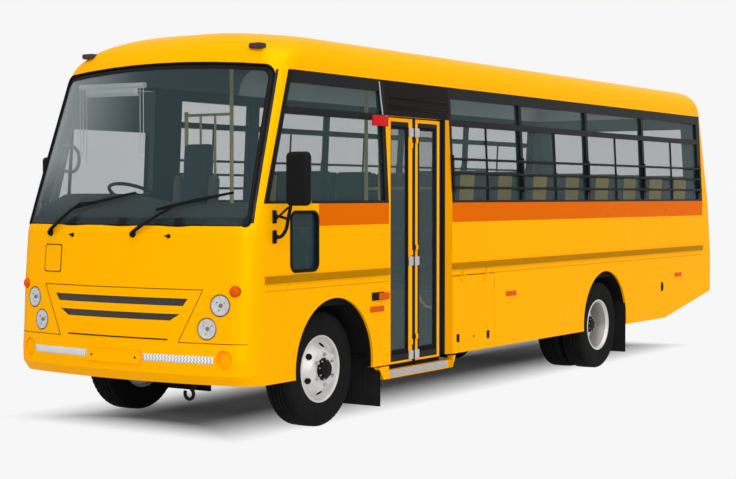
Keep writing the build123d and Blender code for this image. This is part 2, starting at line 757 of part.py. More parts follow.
def mudflaps():
    flaps = []
    for x, low in ((-581, 94), (-WHEELBASE - 484, 126)):
        for side in (1, -1):
            flaps.append(box(x - 4, x + 4, side * (HALF_WIDTH - 540), side * BEARER_HALF, low, RAIL_HIGH))
    return flaps


def arch_liners():
    pieces = []
    for x, foot in ((0, 500), (-WHEELBASE, 650)):
        for side in (1, -1):
            ring = across(x, TYRE_R, 520, side * (HALF_WIDTH - 610), side * INNER_SIDE)
            ring = ring - across(x, TYRE_R, 510, side * (HALF_WIDTH - 700), side * BEYOND)
            for low, high in ((x - 600, x - 150), (x + 150, x + 600)):
                pieces.append(ring & box(low, high, side * (HALF_WIDTH - 700), side * BEYOND, foot, FLOOR_UNDER))
    return pieces


def rub_rails():
    rails = []
    runs = [(MASK_REAR, POST_FRONT, 1), (POST_REAR, SIDE_REAR, 1), (MASK_REAR, DRIVER_FRONT + 15, -1),
            (DRIVER_REAR - 15, SIDE_REAR, -1)]
    for front, rear, side in runs:
        rails.append(box(rear, front, side * HALF_WIDTH, side * (HALF_WIDTH + 12), 1094, 1145))
    return rails


# Guard rails outside the panes: pillar brackets, then rail heights
GUARD_PILLARS = PILLARS + [SIDE_REAR + 68]
LEFT_GUARDS = [POST_REAR - 21] + GUARD_PILLARS
RIGHT_GUARDS = [-752, -1791] + GUARD_PILLARS
GUARD_RAILS = [1767, 1885, 2003]


def guard_set(pillars):
    low, high, thick = 1735, 2035, 14
    plate = [(side_y(low), low), (side_y(low) + thick, low), (side_y(high) + thick, high), (side_y(high), high)]
    pieces = [prism_yz(plate, x - 18, x + 18) for x in pillars]
    for z in GUARD_RAILS:
        y = side_y(z) + thick
        pieces.append(rod((pillars[0] + 18, y, z), (pillars[-1] - 18, y, z), 11))
    return joined(pieces)


def guard_bars():
    return [guard_set(LEFT_GUARDS), mirrored(guard_set(RIGHT_GUARDS))]


MIRROR_IN, MIRROR_OUT = HALF_WIDTH + 105, HALF_WIDTH + 300


def left_mirror():
    plate_x = DRIVER_FRONT + 31
    pieces = [box(plate_x + 24, plate_x + 104, MIRROR_IN, MIRROR_OUT, 1630, 2000)]
    for z in (1416, 1554):
        pieces.append(box(plate_x, plate_x + 54, HALF_WIDTH, HALF_WIDTH + 22, z - 32, z + 32))
        pieces.append(rod((plate_x + 30, HALF_WIDTH + 18, z), (plate_x + 54, HALF_WIDTH + 190, 1640), 13))
    return joined(pieces)


def right_mirror():
    plate_x = DRIVER_FRONT - 140
    plate = box(plate_x - 17, plate_x + 17, -HALF_WIDTH - 6, 25 - HALF_WIDTH, 1900, 1960) - OUTER
    arm = rod((plate_x, -HALF_WIDTH - 1, 1930), (plate_x - 150, -HALF_WIDTH - 150, 1930), 11)
    head = box(plate_x - 185, plate_x - 125, -MIRROR_OUT, -MIRROR_IN, 1865, 2005)
    return joined([plate, arm - OUTER, head])


def lamp_set(rows):
    cover = hull(-LAMP_PROUD)
    return [lamp_seat(*lamp, 0) & cover for lamp in both_sides(rows)]


def amber_lamps():
    lamps = lamp_set(INDICATORS)
    for x, z in REFLECTORS:
        for side in (1, -1):
            lamps.append(box(x - 45, x + 45, side * HALF_WIDTH, side * (HALF_WIDTH + 8), z - 22, z + 22))
    return lamps


def tail_lamps():
    lamps = []
    for side in (1, -1):
        lamps.append(box(TAIL - 12, TAIL, side * (HALF_WIDTH - 260), side * (HALF_WIDTH - 160), 830, 1055))
    return lamps


FASCIA = [(NOSE - 572, 1480), (NOSE - 512, 1140), (NOSE - 344, 1140), (NOSE - 344, 1620), (NOSE - 532, 1645)]
FASCIA_HALF = INNER_SIDE - 20


def dashboard():
    hood = box(NOSE - 540, NOSE - 372, 230 - HALF_WIDTH, -110, 1600, 1712)
    bracket = box(NOSE - 500, NOSE - 420, FASCIA_HALF, INNER_SIDE, 1200, 1380)
    return joined([prism_xz(FASCIA, -FASCIA_HALF, FASCIA_HALF), hood, bracket])


def engine_cover():
    cover = box(-360, NOSE - 576, -COVER_HALF, COVER_HALF, FLOOR_TOP, 1310)
    return cover - box(-330, NOSE, 30 - COVER_HALF, COVER_HALF - 30, 900, 1280)


DRIVER_Y = (270 - HALF_WIDTH, -COVER_HALF - 30)
DRIVER_MIDDLE = (DRIVER_Y[0] + DRIVER_Y[1]) / 2
DRIVER_BACK = NOSE - 1572


def steering_wheel():
    tilt = math.radians(25)
    centre = (DRIVER_BACK + 660, DRIVER_MIDDLE, 1690)
    axis = Vector(-math.sin(tilt), 0, math.cos(tilt))
    plane = Plane(origin=centre, x_dir=(0, 1, 0), z_dir=axis)
    ring = Solid.extrude(Face(plane * Wire.make_polygon(ring_points(228), close=True)), axis * 26)
    hole = Solid.extrude(Face(plane * Wire.make_polygon(ring_points(198), close=True)), axis * 26)
    spokes = plane * Pos(0, 0, 13) * Box(410, 34, 14)
    hub = plane * Pos(0, 0, 5) * Cylinder(40, 40)
    column = rod(centre, Vector(*centre) - axis * 850, 24)
    column = column - box(-2000, 2000, -BEYOND, BEYOND, 500, FLOOR_TOP)
    return joined([ring - hole, spokes, hub, column])


def ring_points(radius):
    return [(radius * math.cos(i * math.pi / 10), radius * math.sin(i * math.pi / 10), 0) for i in range(20)]


# Seats: x of the cushion's front edge; the pitch keeps each row clear of the next
SEAT_DEPTH = 410
BACK_DEPTH = 140
LAST_SEAT = TAIL + 235
SEAT_LOW, SEAT_TOP, BACK_TOP = 1320, 1420, 1940
SEAT_WALL = INNER_SIDE - 20


def seat_rows(first, pitch):
    count = 1 + int((first - SEAT_DEPTH - BACK_DEPTH - LAST_SEAT) / pitch)
    return [first - pitch * n for n in range(count)]


def benches():
    rows = [(x, 240, SEAT_WALL) for x in seat_rows(-1900, 694)]
    return rows + [(x, -SEAT_WALL, -240) for x in seat_rows(-1360, 675)]


def seat_cushions():
    pads = []
    for x, near, far in benches():
        pads.append(box(x - SEAT_DEPTH, x, near, far, SEAT_LOW, SEAT_TOP))
    pads.append(box(DRIVER_BACK, DRIVER_BACK + 440, *DRIVER_Y, 1370, 1480))
    return pads


def back_outline(x, low, top, high, lean, thick):
    foot = x - thick - 10
    return [(x, low), (x, top), (x - lean, high), (x - lean - thick, high), (foot, low)]


def seat_backs():
    backs = []
    for x, near, far in benches():
        backs.append(prism_xz(back_outline(x - SEAT_DEPTH, SEAT_LOW, SEAT_TOP, BACK_TOP, 70, 70), near, far))
    backs.append(prism_xz(back_outline(DRIVER_BACK, 1370, 1480, 2140, 70, 80), *DRIVER_Y))
    return backs


def seat_frames():
    legs = []
    for x, near, far in benches():
        for y in (near + 130, far - 130):
            foot = box(x - 380, x - 40, y - 25, y + 25, FLOOR_TOP, FLOOR_TOP + 12)
            post = box(x - 300, x - 120, y - 18, y + 18, FLOOR_TOP, SEAT_LOW)
            legs.append(foot + post)
    legs.append(box(DRIVER_BACK + 40, DRIVER_BACK + 390, DRIVER_Y[0] + 60, DRIVER_Y[1] - 60, FLOOR_TOP, 1370))
    return legs


# Grab poles of the screen behind the driver: y and height of each pole
SCREEN_X = DRIVER_BACK - 305
SCREEN_RAILS = (1150, 2370)


def grab_poles():
    tall = 2820
    near, far = -COVER_HALF - 70, 200 - HALF_WIDTH
    screen = [
        rod((SCREEN_X, near, FLOOR_TOP), (SCREEN_X, near, tall), 16),
        rod((SCREEN_X, far, FLOOR_TOP), (SCREEN_X, far, 2400), 16),
    ]
    screen += [rod((SCREEN_X, near, z), (SCREEN_X, far, z), 12) for z in SCREEN_RAILS]
    for share in (0.36, 0.68):
        y = near + share * (far - near)
        screen.append(rod((SCREEN_X, y, SCREEN_RAILS[0]), (SCREEN_X, y, SCREEN_RAILS[1]), 10))
    outer = HALF_WIDTH - 140
    guard = [
        rod((-1680, 260, FLOOR_TOP), (-1680, 260, tall), 16),
        rod((-1680, 260, 1760), (-1680, outer, 1760), 12),
        rod((-1680, outer, FLOOR_TOP), (-1680, outer, 1800), 16),
    ]
    return [joined(screen), joined(guard)]


PIECES = {
    "chassis_frame": chassis_frame,
    "engine": engine,
    "radiator": radiator,
    "front_axle": front_axle,
    "rear_axle": rear_axle,
    "propeller_shaft": propeller_shaft,
    "leaf_springs": leaf_springs,
    "fuel_tank": fuel_tank,
    "exhaust": exhaust,
    "floor": floor,
    "step_well": step_well,
    "door_surround": door_surround,
    "front_mask": front_mask,
    "grille_panel": grille_panel,
    "front_bumper": front_bumper,
    "plate_holder": plate_holder,
    "roof": roof,
    "rear_wall": rear_wall,
    "rear_bumper": rear_bumper,
    "left_side": left_side,
    "right_side": right_side,
    "filler_caps": filler_cap,
    "left_window_frames": lambda: window_frames(1),
    "right_window_frames": lambda: window_frames(-1),
    "windscreen": windscreen,
    "window_glass": window_glass,
    "guard_bars": guard_bars,
    "rub_rails": rub_rails,
    "left_mirror": left_mirror,
    "right_mirror": right_mirror,
    "headlamps": lambda: lamp_set(HEADLAMPS),
    "amber_lamps": amber_lamps,
    "tail_lamps": tail_lamps,
    "mudflaps": mudflaps,
    "arch_liners": arch_liners,
    "dashboard": dashboard,
    "engine_cover": engine_cover,
    "steering_wheel": steering_wheel,
    "seat_frames": seat_frames,
    "seat_cushions": seat_cushions,
    "seat_backs": seat_backs,
    "grab_poles": grab_poles,
    "door_front_leaf": lambda: door_leaf("front"),
    "door_front_glass": lambda: door_glass("front"),
    "door_rear_leaf": lambda: door_leaf("rear"),
    "door_rear_glass": lambda: door_glass("rear"),
    "driver_door": driver_door,
    "driver_door_glass": driver_door_glass,
    "side_flap": side_flap,
    "front_left_knuckle": knuckle,
    "front_right_knuckle": lambda: mirrored(knuckle()),
    "front_left_rim": front_rim,
    "front_right_rim": lambda: mirrored(front_rim()),
    "front_left_tyre": lambda: tyre(0, FRONT_TYRE_Y),
    "front_right_tyre": lambda: tyre(0, -FRONT_TYRE_Y),
    "rear_left_rims": rear_rim,
    "rear_right_rims": lambda: mirrored(rear_rim()),
    "rear_left_tyres": rear_tyres,
    "rear_right_tyres": lambda: [mirrored(one) for one in rear_tyres()],
}


def solids_of(made):
    shapes = made if isinstance(made, list) else [made]
    return [solid for shape in shapes for solid in shape.solids()]


def write(name, made):
    place = Location((FRAME_SHIFT, 0, 0))
    moved = [solid.moved(place) for solid in solids_of(made)]
    export_step(Compound(children=moved) if len(moved) > 1 else moved[0], f"parts/{name}.step")


os.makedirs("parts", exist_ok=True)
for piece_name, maker in PIECES.items():
    write(piece_name, maker())
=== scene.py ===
"""A yellow school bus: the CAD frame dressed with tyres, wheels, lamps, wipers, trim and seats.

Lengths are metres in the shared frame: x forward, y to the bus's left, z up,
with the origin under the middle of the bus.
"""
import math

import bmesh
import bpy
import numpy as np
from mathutils import Matrix, Vector


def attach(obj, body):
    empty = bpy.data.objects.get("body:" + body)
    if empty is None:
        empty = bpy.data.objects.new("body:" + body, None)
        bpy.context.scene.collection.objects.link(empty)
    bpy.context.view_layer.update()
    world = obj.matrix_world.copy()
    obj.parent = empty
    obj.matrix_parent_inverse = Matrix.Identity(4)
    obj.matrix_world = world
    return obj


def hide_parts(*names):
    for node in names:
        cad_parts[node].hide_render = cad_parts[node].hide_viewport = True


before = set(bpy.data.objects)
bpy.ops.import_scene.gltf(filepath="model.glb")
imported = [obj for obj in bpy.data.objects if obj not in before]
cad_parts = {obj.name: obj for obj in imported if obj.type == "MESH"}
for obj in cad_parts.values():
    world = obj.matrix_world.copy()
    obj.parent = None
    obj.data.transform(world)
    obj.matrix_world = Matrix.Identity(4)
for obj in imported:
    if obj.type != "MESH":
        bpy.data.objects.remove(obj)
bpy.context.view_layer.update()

FRONT_AXLE = 3.220
REAR_AXLE = FRONT_AXLE - 4.700
HUB_HEIGHT = 0.426
HALF_WIDTH = 1.100
ROOF_HALF = 1.050
WAIST_TOP = 1.644
ROOF_EDGE = 2.590
BOW_RADIUS = 4.680
CORNER_RADIUS = 0.180
TAIL_RADIUS = 0.070
SIDES = (1, -1)
FORWARD = (1, 0, 0)
SIDEWAYS = (0, 1, 0)
UPWARDS = (0, 0, 1)

# Heights of the nose's sections, with the centre's x from the front axle, the half width and the tail's x
NOSE_Z = np.array([0.40, 0.47, 0.58, 0.69, 1.06, 1.44, 1.644, 2.59, 2.69, 2.77, 2.835])
NOSE_X = np.array([1.110, 1.168, 1.172, 1.162, 1.146, 1.112, 1.040, 0.705, 0.662, 0.606, 0.527])
NOSE_HALF = np.array([1.1, 1.1, 1.1, 1.1, 1.1, 1.1, 1.1, 1.05, 1.045, 1.03, 1.0])
TAIL_Z = np.array([0.40, 1.06, 2.59])
TAIL_X = np.array([-7.600, -7.600, -7.355])


# Points

def spread(*parts):
    """Points from coordinates whose shapes match or stretch to match."""
    return np.stack(np.broadcast_arrays(*parts), axis=-1)


def between(start, end, share):
    """Points on the way from start to end."""
    return np.asarray(start) * (1 - share) + np.asarray(end) * share


def from_axle(points):
    """Points whose x is measured from the front axle, in the shared frame."""
    return np.asarray(points, float) + [FRONT_AXLE, 0, 0]


def full_turn(steps):
    return np.linspace(0, 2 * np.pi, steps, endpoint=False)


def smooth_path(points, count):
    """A Catmull-Rom line through points whose x is from the front axle."""
    points = from_axle(points)
    padded = np.concatenate([2 * points[:1] - points[1:2], points, 2 * points[-1:] - points[-2:-1]])
    place = np.linspace(0, len(points) - 1, count)
    start = np.minimum(place.astype(int), len(points) - 2)
    t = (place - start)[:, None]
    a, b, c, d = (padded[start + k] for k in range(4))
    square = (2 * a - 5 * b + 4 * c - d) * t ** 2
    cube = (3 * b - a - 3 * c + d) * t ** 3
    return 0.5 * (2 * b + (c - a) * t + square + cube)


def round_outline(corners, radii, steps=9):
    """A polygon's loop of points with each corner turned into an arc of its own radius."""
    corners = np.asarray(corners, float)
    radii = np.broadcast_to(np.asarray(radii, float), (len(corners),))
    t = np.linspace(0, 1, steps)[:, None]
    loop = []
    for here, before, after, radius in zip(corners, np.roll(corners, 1, 0), np.roll(corners, -1, 0), radii):
        to_before = (before - here) / np.linalg.norm(before - here)
        to_after = (after - here) / np.linalg.norm(after - here)
        half_angle = np.arccos(np.clip(to_before @ to_after, -1, 1)) / 2
        reach = radius / np.tan(half_angle)
        middle = (to_before + to_after) / np.linalg.norm(to_before + to_after)
        centre = here + middle * radius / np.sin(half_angle)
        start = here + to_before * reach - centre
        end = here + to_after * reach - centre
        sweep = np.pi - 2 * half_angle
        loop.append(centre + (np.sin((1 - t) * sweep) * start + np.sin(t * sweep) * end) / np.sin(sweep))
    return np.concatenate(loop)


def round_oblong(low, high, radius):
    """An upright oblong's loop with round corners."""
    return round_outline([low, (high[0], low[1]), high, (low[0], high[1])], radius)


def dense_loop(loop, step):
    """The same loop with points added along its long runs."""
    closed = np.concatenate([loop, loop[:1]])
    length = np.concatenate([[0], np.cumsum(np.linalg.norm(np.diff(closed, axis=0), axis=1))])
    place = np.unique(np.concatenate([length[:-1], np.arange(0, length[-1], step)]))
    return np.stack([np.interp(place, length, closed[:, k]) for k in range(loop.shape[1])], axis=-1)


# Sheets: each is a grid of points, and whether its rows and its columns wrap round

def lathe(profile, centre, axis, turns):
    """A profile of (radius, offset) carried round the x or y axis through the centre."""
    profile = np.asarray(profile, float)
    radius, offset = profile[:, 0][:, None], profile[:, 1][:, None]
    turn = full_turn(turns)
    flat, rise = radius * np.cos(turn), radius * np.sin(turn)
    order = {"x": (offset, flat, rise), "y": (flat, offset, rise)}[axis]
    return spread(*order) + np.asarray(centre, float), False, True


def tube(path, radius, sides, up=UPWARDS, capped=True):
    """A circle carried along a path of points, square to it, with its ends closed."""
    path = np.asarray(path, float)
    way = np.gradient(path, axis=0)
    way /= np.linalg.norm(way, axis=1, keepdims=True)
    side = np.cross(way, np.asarray(up, float))
    side /= np.linalg.norm(side, axis=1, keepdims=True)
    top = np.cross(side, way)
    turn = full_turn(sides)[None, :, None]
    radius = np.broadcast_to(np.asarray(radius, float), (len(path),))[:, None, None]
    grid = path[:, None] + radius * (side[:, None] * np.cos(turn) + top[:, None] * np.sin(turn))
    if capped:
        first = np.broadcast_to(path[0], grid[:1].shape)
        last = np.broadcast_to(path[-1], grid[-1:].shape)
        grid = np.concatenate([first, grid, last])
    return grid, False, True


def hoop(line, radius, up):
    """A round bead along a closed loop of points."""
    grid, _, _ = tube(np.concatenate([line, line[:1]]), radius, 8, up, capped=False)
    return grid[:-1], True, True


def soft_box(low, high, radius, steps=5):
    """A box with round edges: a sphere's normal times the radius, added to the corner that it faces."""
    low, high = np.asarray(low, float), np.asarray(high, float)
    half = (high - low) / 2
    radius = min(radius, *(half * 0.999))
    quarter = np.linspace(0, np.pi / 2, steps)
    around = np.concatenate([quarter + k * np.pi / 2 for k in range(4)])
    tilt = np.concatenate([-np.pi / 2 + quarter, quarter])[:, None]
    sign_x = np.repeat([1, -1, -1, 1], steps)
    sign_y = np.repeat([1, 1, -1, -1], steps)
    sign_z = np.repeat([-1, 1], steps)[:, None]
    normal = spread(np.cos(tilt) * np.cos(around), np.cos(tilt) * np.sin(around), np.sin(tilt))
    grid = (low + high) / 2 + spread(sign_x, sign_y, sign_z) * (half - radius) + radius * normal
    bottom = np.broadcast_to(grid[:1].mean(axis=1, keepdims=True), grid[:1].shape)
    top = np.broadcast_to(grid[-1:].mean(axis=1, keepdims=True), grid[-1:].shape)
    return np.concatenate([bottom, grid, top]), False, True


def block(corner, other, radius, steps=5):
    """A soft box between two opposite corners, their x from the front axle."""
    corner, other = from_axle(corner), from_axle(other)
    return soft_box(np.minimum(corner, other), np.maximum(corner, other), radius, steps)


def disc_sheet(spot, profile, turns=40):
    """A profile of (radius, height) turned round a spot's own axis."""
    centre, axis, across, up = spot
    turn = full_turn(turns)[:, None]
    ring = across * np.cos(turn) + up * np.sin(turn)
    profile = np.asarray(profile, float)[:, :, None, None]
    return centre + profile[:, 0] * ring + profile[:, 1] * axis, False, True


# Objects

def grid_faces(rows, columns, wrap_rows=False, wrap_columns=False, first=0):
    """Quads of a grid of points, each joined to its next row and column, wrapping round where asked."""
    index = np.arange(rows * columns).reshape(rows, columns) + first
    if wrap_rows:
        index = np.concatenate([index, index[:1]], axis=0)
    if wrap_columns:
        index = np.concatenate([index, index[:, :1]], axis=1)
    corners = [index[:-1, :-1], index[1:, :-1], index[1:, 1:], index[:-1, 1:]]
    return np.stack(corners, axis=-1).reshape(-1, 4)


def grid_mesh(name, sheets):
    """One mesh from several sheets; doubles merged, faces outwards."""
    points, faces, first = [], [], 0
    for grid, wrap_rows, wrap_columns in sheets:
        rows, columns = grid.shape[:2]
        points.append(grid.reshape(-1, 3))
        faces.append(grid_faces(rows, columns, wrap_rows, wrap_columns, first))
        first += rows * columns
    mesh = bpy.data.meshes.new(name)
    mesh.from_pydata(np.concatenate(points).tolist(), [], np.concatenate(faces).tolist())
    shell = bmesh.new()
    shell.from_mesh(mesh)
    bmesh.ops.remove_doubles(shell, verts=shell.verts, dist=1e-5)
    bmesh.ops.dissolve_degenerate(shell, edges=shell.edges, dist=1e-6)
    bmesh.ops.recalc_face_normals(shell, faces=shell.faces)
    shell.to_mesh(mesh)
    shell.free()
    return mesh


def dress(name, mesh, material, body="bus", slot=None, stands_for=None, smooth=True, angle=40.0):
    """An object of this mesh that rides on a body and may stand for a CAD node; its slot is not used."""
    thing = bpy.data.objects.new(name, mesh)
    bpy.context.scene.collection.objects.link(thing)
    mesh.materials.append(material)
    if smooth:
        mesh.shade_smooth()
        mesh.set_sharp_from_angle(angle=math.radians(angle))
    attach(thing, body)
    if stands_for:
        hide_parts(stands_for)
    return thing


def piece(name, sheets, material, **options):
    """One object from several sheets."""
    return dress(name, grid_mesh(name, sheets), material, **options)


def thicken(thing, thickness):
    """Gives an open sheet a wall."""
    wall = thing.modifiers.new("wall", "SOLIDIFY")
    wall.thickness = thickness


# The nose's own surface

def nose_x(y, z):
    """Front surface: the centre's x at this height, less the bow's drop, or the round corner beyond it."""
    y, z = np.broadcast_arrays(np.abs(np.asarray(y, float)), np.asarray(z, float))
    front = np.interp(z, NOSE_Z, NOSE_X)
    half = np.interp(z, NOSE_Z, NOSE_HALF)
    reach = np.sqrt((BOW_RADIUS - CORNER_RADIUS) ** 2 - (half - CORNER_RADIUS) ** 2)
    corner_x = front - BOW_RADIUS + reach
    touch = BOW_RADIUS * (half - CORNER_RADIUS) / (BOW_RADIUS - CORNER_RADIUS)
    bow = front - BOW_RADIUS + np.sqrt(BOW_RADIUS ** 2 - y ** 2)
    over = np.clip(CORNER_RADIUS ** 2 - (y - half + CORNER_RADIUS) ** 2, 0, None)
    return np.where(y <= touch, bow, corner_x + np.sqrt(over)) + FRONT_AXLE


def nose_normal(y, z):
    """Outward direction of the nose from its slopes in y and z."""
    step = 1e-3
    slope_y = (nose_x(y + step, z) - nose_x(y - step, z)) / (2 * step)
    slope_z = (nose_x(y, z + step) - nose_x(y, z - step)) / (2 * step)
    normal = spread(1.0, -slope_y, -slope_z)
    return normal / np.linalg.norm(normal, axis=-1, keepdims=True)


def nose_points(yz, lift=0.0):
    """Points of the plane y, z carried forward on to the nose and lifted along its normal."""
    yz = np.asarray(yz, float)
    y, z = yz[..., 0], yz[..., 1]
    return spread(nose_x(y, z), y, z) + nose_normal(y, z) * np.asarray(lift)[..., None]


def nose_line(start, end, radius, lift=0.0):
    """A thin round line between two points of the nose."""
    return tube(nose_points(np.linspace(start, end, 40), lift), radius, 6, up=(1, 0, 0.1))


def nose_spot(y, z):
    """Centre and axes of a round detail: its axis is the nose's normal there."""
    centre = nose_points((y, z))
    axis = nose_normal(np.array(y), np.array(z))
    across = np.cross(UPWARDS, axis)
    across /= np.linalg.norm(across)
    return centre, axis, across, np.cross(axis, across)


def side_half(z):
    """Half width of the glazed sides, which lean in to the roof."""
    return np.interp(z, [WAIST_TOP, ROOF_EDGE], [HALF_WIDTH, ROOF_HALF])


# Materials

class Graph:
    """A node tree with short calls for its sums and masks."""

    def __init__(self, tree):
        self.nodes = tree.nodes
        self.links = tree.links

    def feed(self, socket, value):
        """Links an output to a socket, or sets a constant on it."""
        if isinstance(value, bpy.types.NodeSocket):
            self.links.new(value, socket)
        else:
            socket.default_value = value

    def node(self, kind, inputs):
        """A new node with its inputs fed."""
        made = self.nodes.new("ShaderNode" + kind)
        for name, value in inputs.items():
            self.feed(made.inputs[name], value)
        return made

    def math(self, kind, *values):
        made = self.nodes.new("ShaderNodeMath")
        made.operation = kind
        for socket, value in zip(made.inputs, values):
            self.feed(socket, value)
        return made.outputs[0]

    def times(self, a, b):
        return self.math("MULTIPLY", a, b)

    def most(self, a, b):
        return self.math("MAXIMUM", a, b)

    def above(self, value, edge):
        return self.math("GREATER_THAN", value, edge)

    def below(self, value, edge):
        return self.math("LESS_THAN", value, edge)

    def span(self, value, low, high):
        """One between low and high, nought elsewhere."""
        return self.times(self.above(value, low), self.below(value, high))

    def ramp(self, value, start, length):
        """Nought at the start and one a length further on."""
        return self.math("DIVIDE", self.math("SUBTRACT", value, start), length)

    def within_one(self, value):
        return self.math("MINIMUM", self.most(value, 0.0), 1.0)

    def along(self, x, ends):
        """One between two places along x from the front axle."""
        return self.span(x, FRONT_AXLE + ends[0], FRONT_AXLE + ends[1])

    def wave(self, value, pitch):
        return self.math("SINE", self.times(value, 2 * math.pi / pitch))

    def seen_ray(self):
        """One for rays that show the backdrop: from the camera, from a reflection or through glass."""
        path = self.nodes.new("ShaderNodeLightPath").outputs
        bent = self.most(path["Is Glossy Ray"], path["Is Transmission Ray"])
        return self.most(path["Is Camera Ray"], bent)

    def show(self, share, plain, other, output):
        """Sends a mix of two shaders to the output."""
        blend = self.node("MixShader", {0: share, 1: plain.outputs[0], 2: other.outputs[0]})
        self.feed(self.nodes[output].inputs[0], blend.outputs[0])


class Paint(Graph):
    """A principled material with short calls for its textures."""

    def __init__(self, name, colour, rough, metal=0.0):
        self.material = bpy.data.materials.new(name)
        self.material.use_nodes = True
        super().__init__(self.material.node_tree)
        self.shader = self.nodes["Principled BSDF"]
        self.coords = self.nodes.new("ShaderNodeTexCoord").outputs
        self.set("Base Color", (*colour, 1.0)).set("Roughness", rough).set("Metallic", metal)

    def set(self, name, value):
        self.feed(self.shader.inputs[name], value)
        return self

    def axes(self, kind="Object"):
        return self.node("SeparateXYZ", {0: self.coords[kind]}).outputs

    def texture(self, kind, scale, stretch):
        mapping = self.node("Mapping", {"Vector": self.coords["Object"], "Scale": stretch})
        return self.node("Tex" + kind, {"Vector": mapping.outputs[0], "Scale": scale})

    def noise(self, scale, detail=3.0, stretch=(1, 1, 1)):
        made = self.texture("Noise", scale, stretch)
        made.inputs["Detail"].default_value = detail
        return made.outputs["Fac"]

    def cells(self, scale, stretch=(1, 1, 1)):
        made = self.texture("Voronoi", scale, stretch)
        made.feature = "DISTANCE_TO_EDGE"
        return made.outputs["Distance"]

    def mix(self, mask, base, other):
        made = self.nodes.new("ShaderNodeMix")
        made.data_type = "RGBA"
        for name, value in (("Factor", mask), ("A", base), ("B", other)):
            self.feed(made.inputs[name], (*value, 1.0) if isinstance(value, tuple) else value)
        return made.outputs["Result"]

    def tint(self, low, high, scale, detail=3.0, stretch=(1, 1, 1)):
        """Colour that drifts between two tones with a noise."""
        return self.mix(self.noise(scale, detail, stretch), low, high)

    def yellow(self):
        """Bus yellow with a faint drift of tone."""
        return self.tint(YELLOW_DEEP, YELLOW, 1.3)

    def shade(self, colour):
        return self.set("Base Color", colour)

    def wear(self, low, high, scale):
        """Roughness that drifts between two values with a noise."""
        ranged = self.node("MapRange", {"Value": self.noise(scale), "To Min": low, "To Max": high})
        return self.set("Roughness", ranged.outputs[0])

    def bump(self, height, strength, distance):
        inputs = {"Height": height, "Strength": strength, "Distance": distance}
        return self.set("Normal", self.node("Bump", inputs).outputs[0])


YELLOW = (0.97, 0.425, 0.0)
YELLOW_DEEP = (0.94, 0.405, 0.0)
ORANGE = (0.715, 0.130, 0.0)
# Darker yellow for the painted shade on the doorway's rear jamb
SHADED_JAMB_YELLOW = (0.72, 0.285, 0.0)
# Dark yellow-brown for the painted shade along the side's pressed seam
SEAM_SHADE_BROWN = (0.20, 0.08, 0.0)
LINING = (0.16, 0.18, 0.185)
PANEL_BLACK = (0.012, 0.012, 0.013)
REVEAL_BLACK = (0.010, 0.012, 0.012)
EDGE_BLACK = (0.010, 0.010, 0.010)
LEAF_BLACK = (0.020, 0.024, 0.025)
PAINT_IOR = 1.06
GLASS_IOR = 1.5
# A face looks into the cabin where its normal's outward part is below this
INWARDS = -0.2
# Heights, and places along x from the front axle, where a paint changes
CHEEK_FOOT = 1.20
BAND_Z = (1.483, 1.70)
# Heights of the pressed seam, and how much painted shade it gets
SEAM_Z = (1.0380, 1.0460)
SEAM_SHADE_SHARE = 0.35
KERB_X = (0.20, 0.58)
KERB_Z = (1.15, 1.60)
# Where the rear jamb's face gets painted shade
SHADED_JAMB_X = (-1.712, -1.630)
POST_RUBBER_X = (-1.630, -1.580)
POST_RUBBER_FOOT = 0.40
HEADER_FOOT = 2.318
GLAZING_BORDER = 0.004
GLAZING_Z = (0.404, 2.278)
LEAF_FOOT = 0.378
CAB_REAR = -1.55
PATCH_Y = (0.79, 0.93)
PATCH_Z = (1.50, 1.885)
# Depths of the rear rim's barrel, which gets painted shade
BARREL_Y = (0.868, 0.996)
RAIL_PITCH = 0.0085
WEAVE_PITCH = 0.004
TREAD_PITCH = 0.012
CHEVRON_PITCH = 0.026
CHEVRON_DEPTH = 0.0125


def grey(tone):
    return (tone, tone, tone)


def gloss(paint):
    """Finish of the sprayed panels: a low sheen with a fine ripple."""
    paint.set("Coat Weight", 0.01).set("Coat Roughness", 0.08).set("Coat IOR", 1.3)
    paint.set("IOR", PAINT_IOR).set("Metallic", 0.12).set("Specular Tint", (1.0, 0.6, 0.05, 1.0))
    paint.wear(0.24, 0.34, 3.0)
    return paint.bump(paint.noise(240.0, 2.0), 0.03, 0.0006).material


def panel_paint(name):
    """Plain bus yellow."""
    paint = Paint(name, YELLOW, 0.3)
    return gloss(paint.shade(paint.yellow()))


def nose_paint(name, facing):
    """Yellow outside, and grey lining on faces that look into the cabin.

    facing is 1 for the nose and -1 for the tail.
    """
    paint = Paint(name, YELLOW, 0.3)
    normal_x, normal_y, _ = paint.axes("Normal")
    _, y, z = paint.axes()
    back = paint.below(paint.times(normal_x, facing), INWARDS)
    outwards = paint.times(normal_y, paint.math("SIGN", y))
    cheek = paint.times(paint.below(outwards, INWARDS), paint.above(z, CHEEK_FOOT))
    return gloss(paint.shade(paint.mix(paint.most(back, cheek), paint.yellow(), LINING)))


def side_paint(name, stripe_front, side, glazed=False):
    """Yellow side with the orange band under the windows, painted shade along the thin pressed seam, and grey
    lining inside.

    A glazed panel is black above the waist.
    """
    paint = Paint(name, YELLOW, 0.3)
    x, y, z = paint.axes()
    inside = paint.below(paint.times(paint.axes("Normal")[1], side), INWARDS)
    band = paint.times(paint.span(z, *BAND_Z), paint.below(x, FRONT_AXLE + stripe_front))
    # Painted shade along the pressed seam
    seam = paint.span(z, *SEAM_Z)
    kerb_window = paint.times(paint.along(x, KERB_X), paint.span(z, *KERB_Z))
    reveal = paint.times(kerb_window, paint.below(paint.times(y, side), HALF_WIDTH - 0.0025))
    colour = paint.mix(band, paint.yellow(), ORANGE)
    colour = paint.mix(paint.times(seam, SEAM_SHADE_SHARE), colour, SEAM_SHADE_BROWN)
    colour = paint.mix(reveal, colour, REVEAL_BLACK)
    if glazed:
        colour = paint.mix(paint.above(z, WAIST_TOP), colour, PANEL_BLACK)
    return gloss(paint.shade(paint.mix(inside, colour, LINING)))


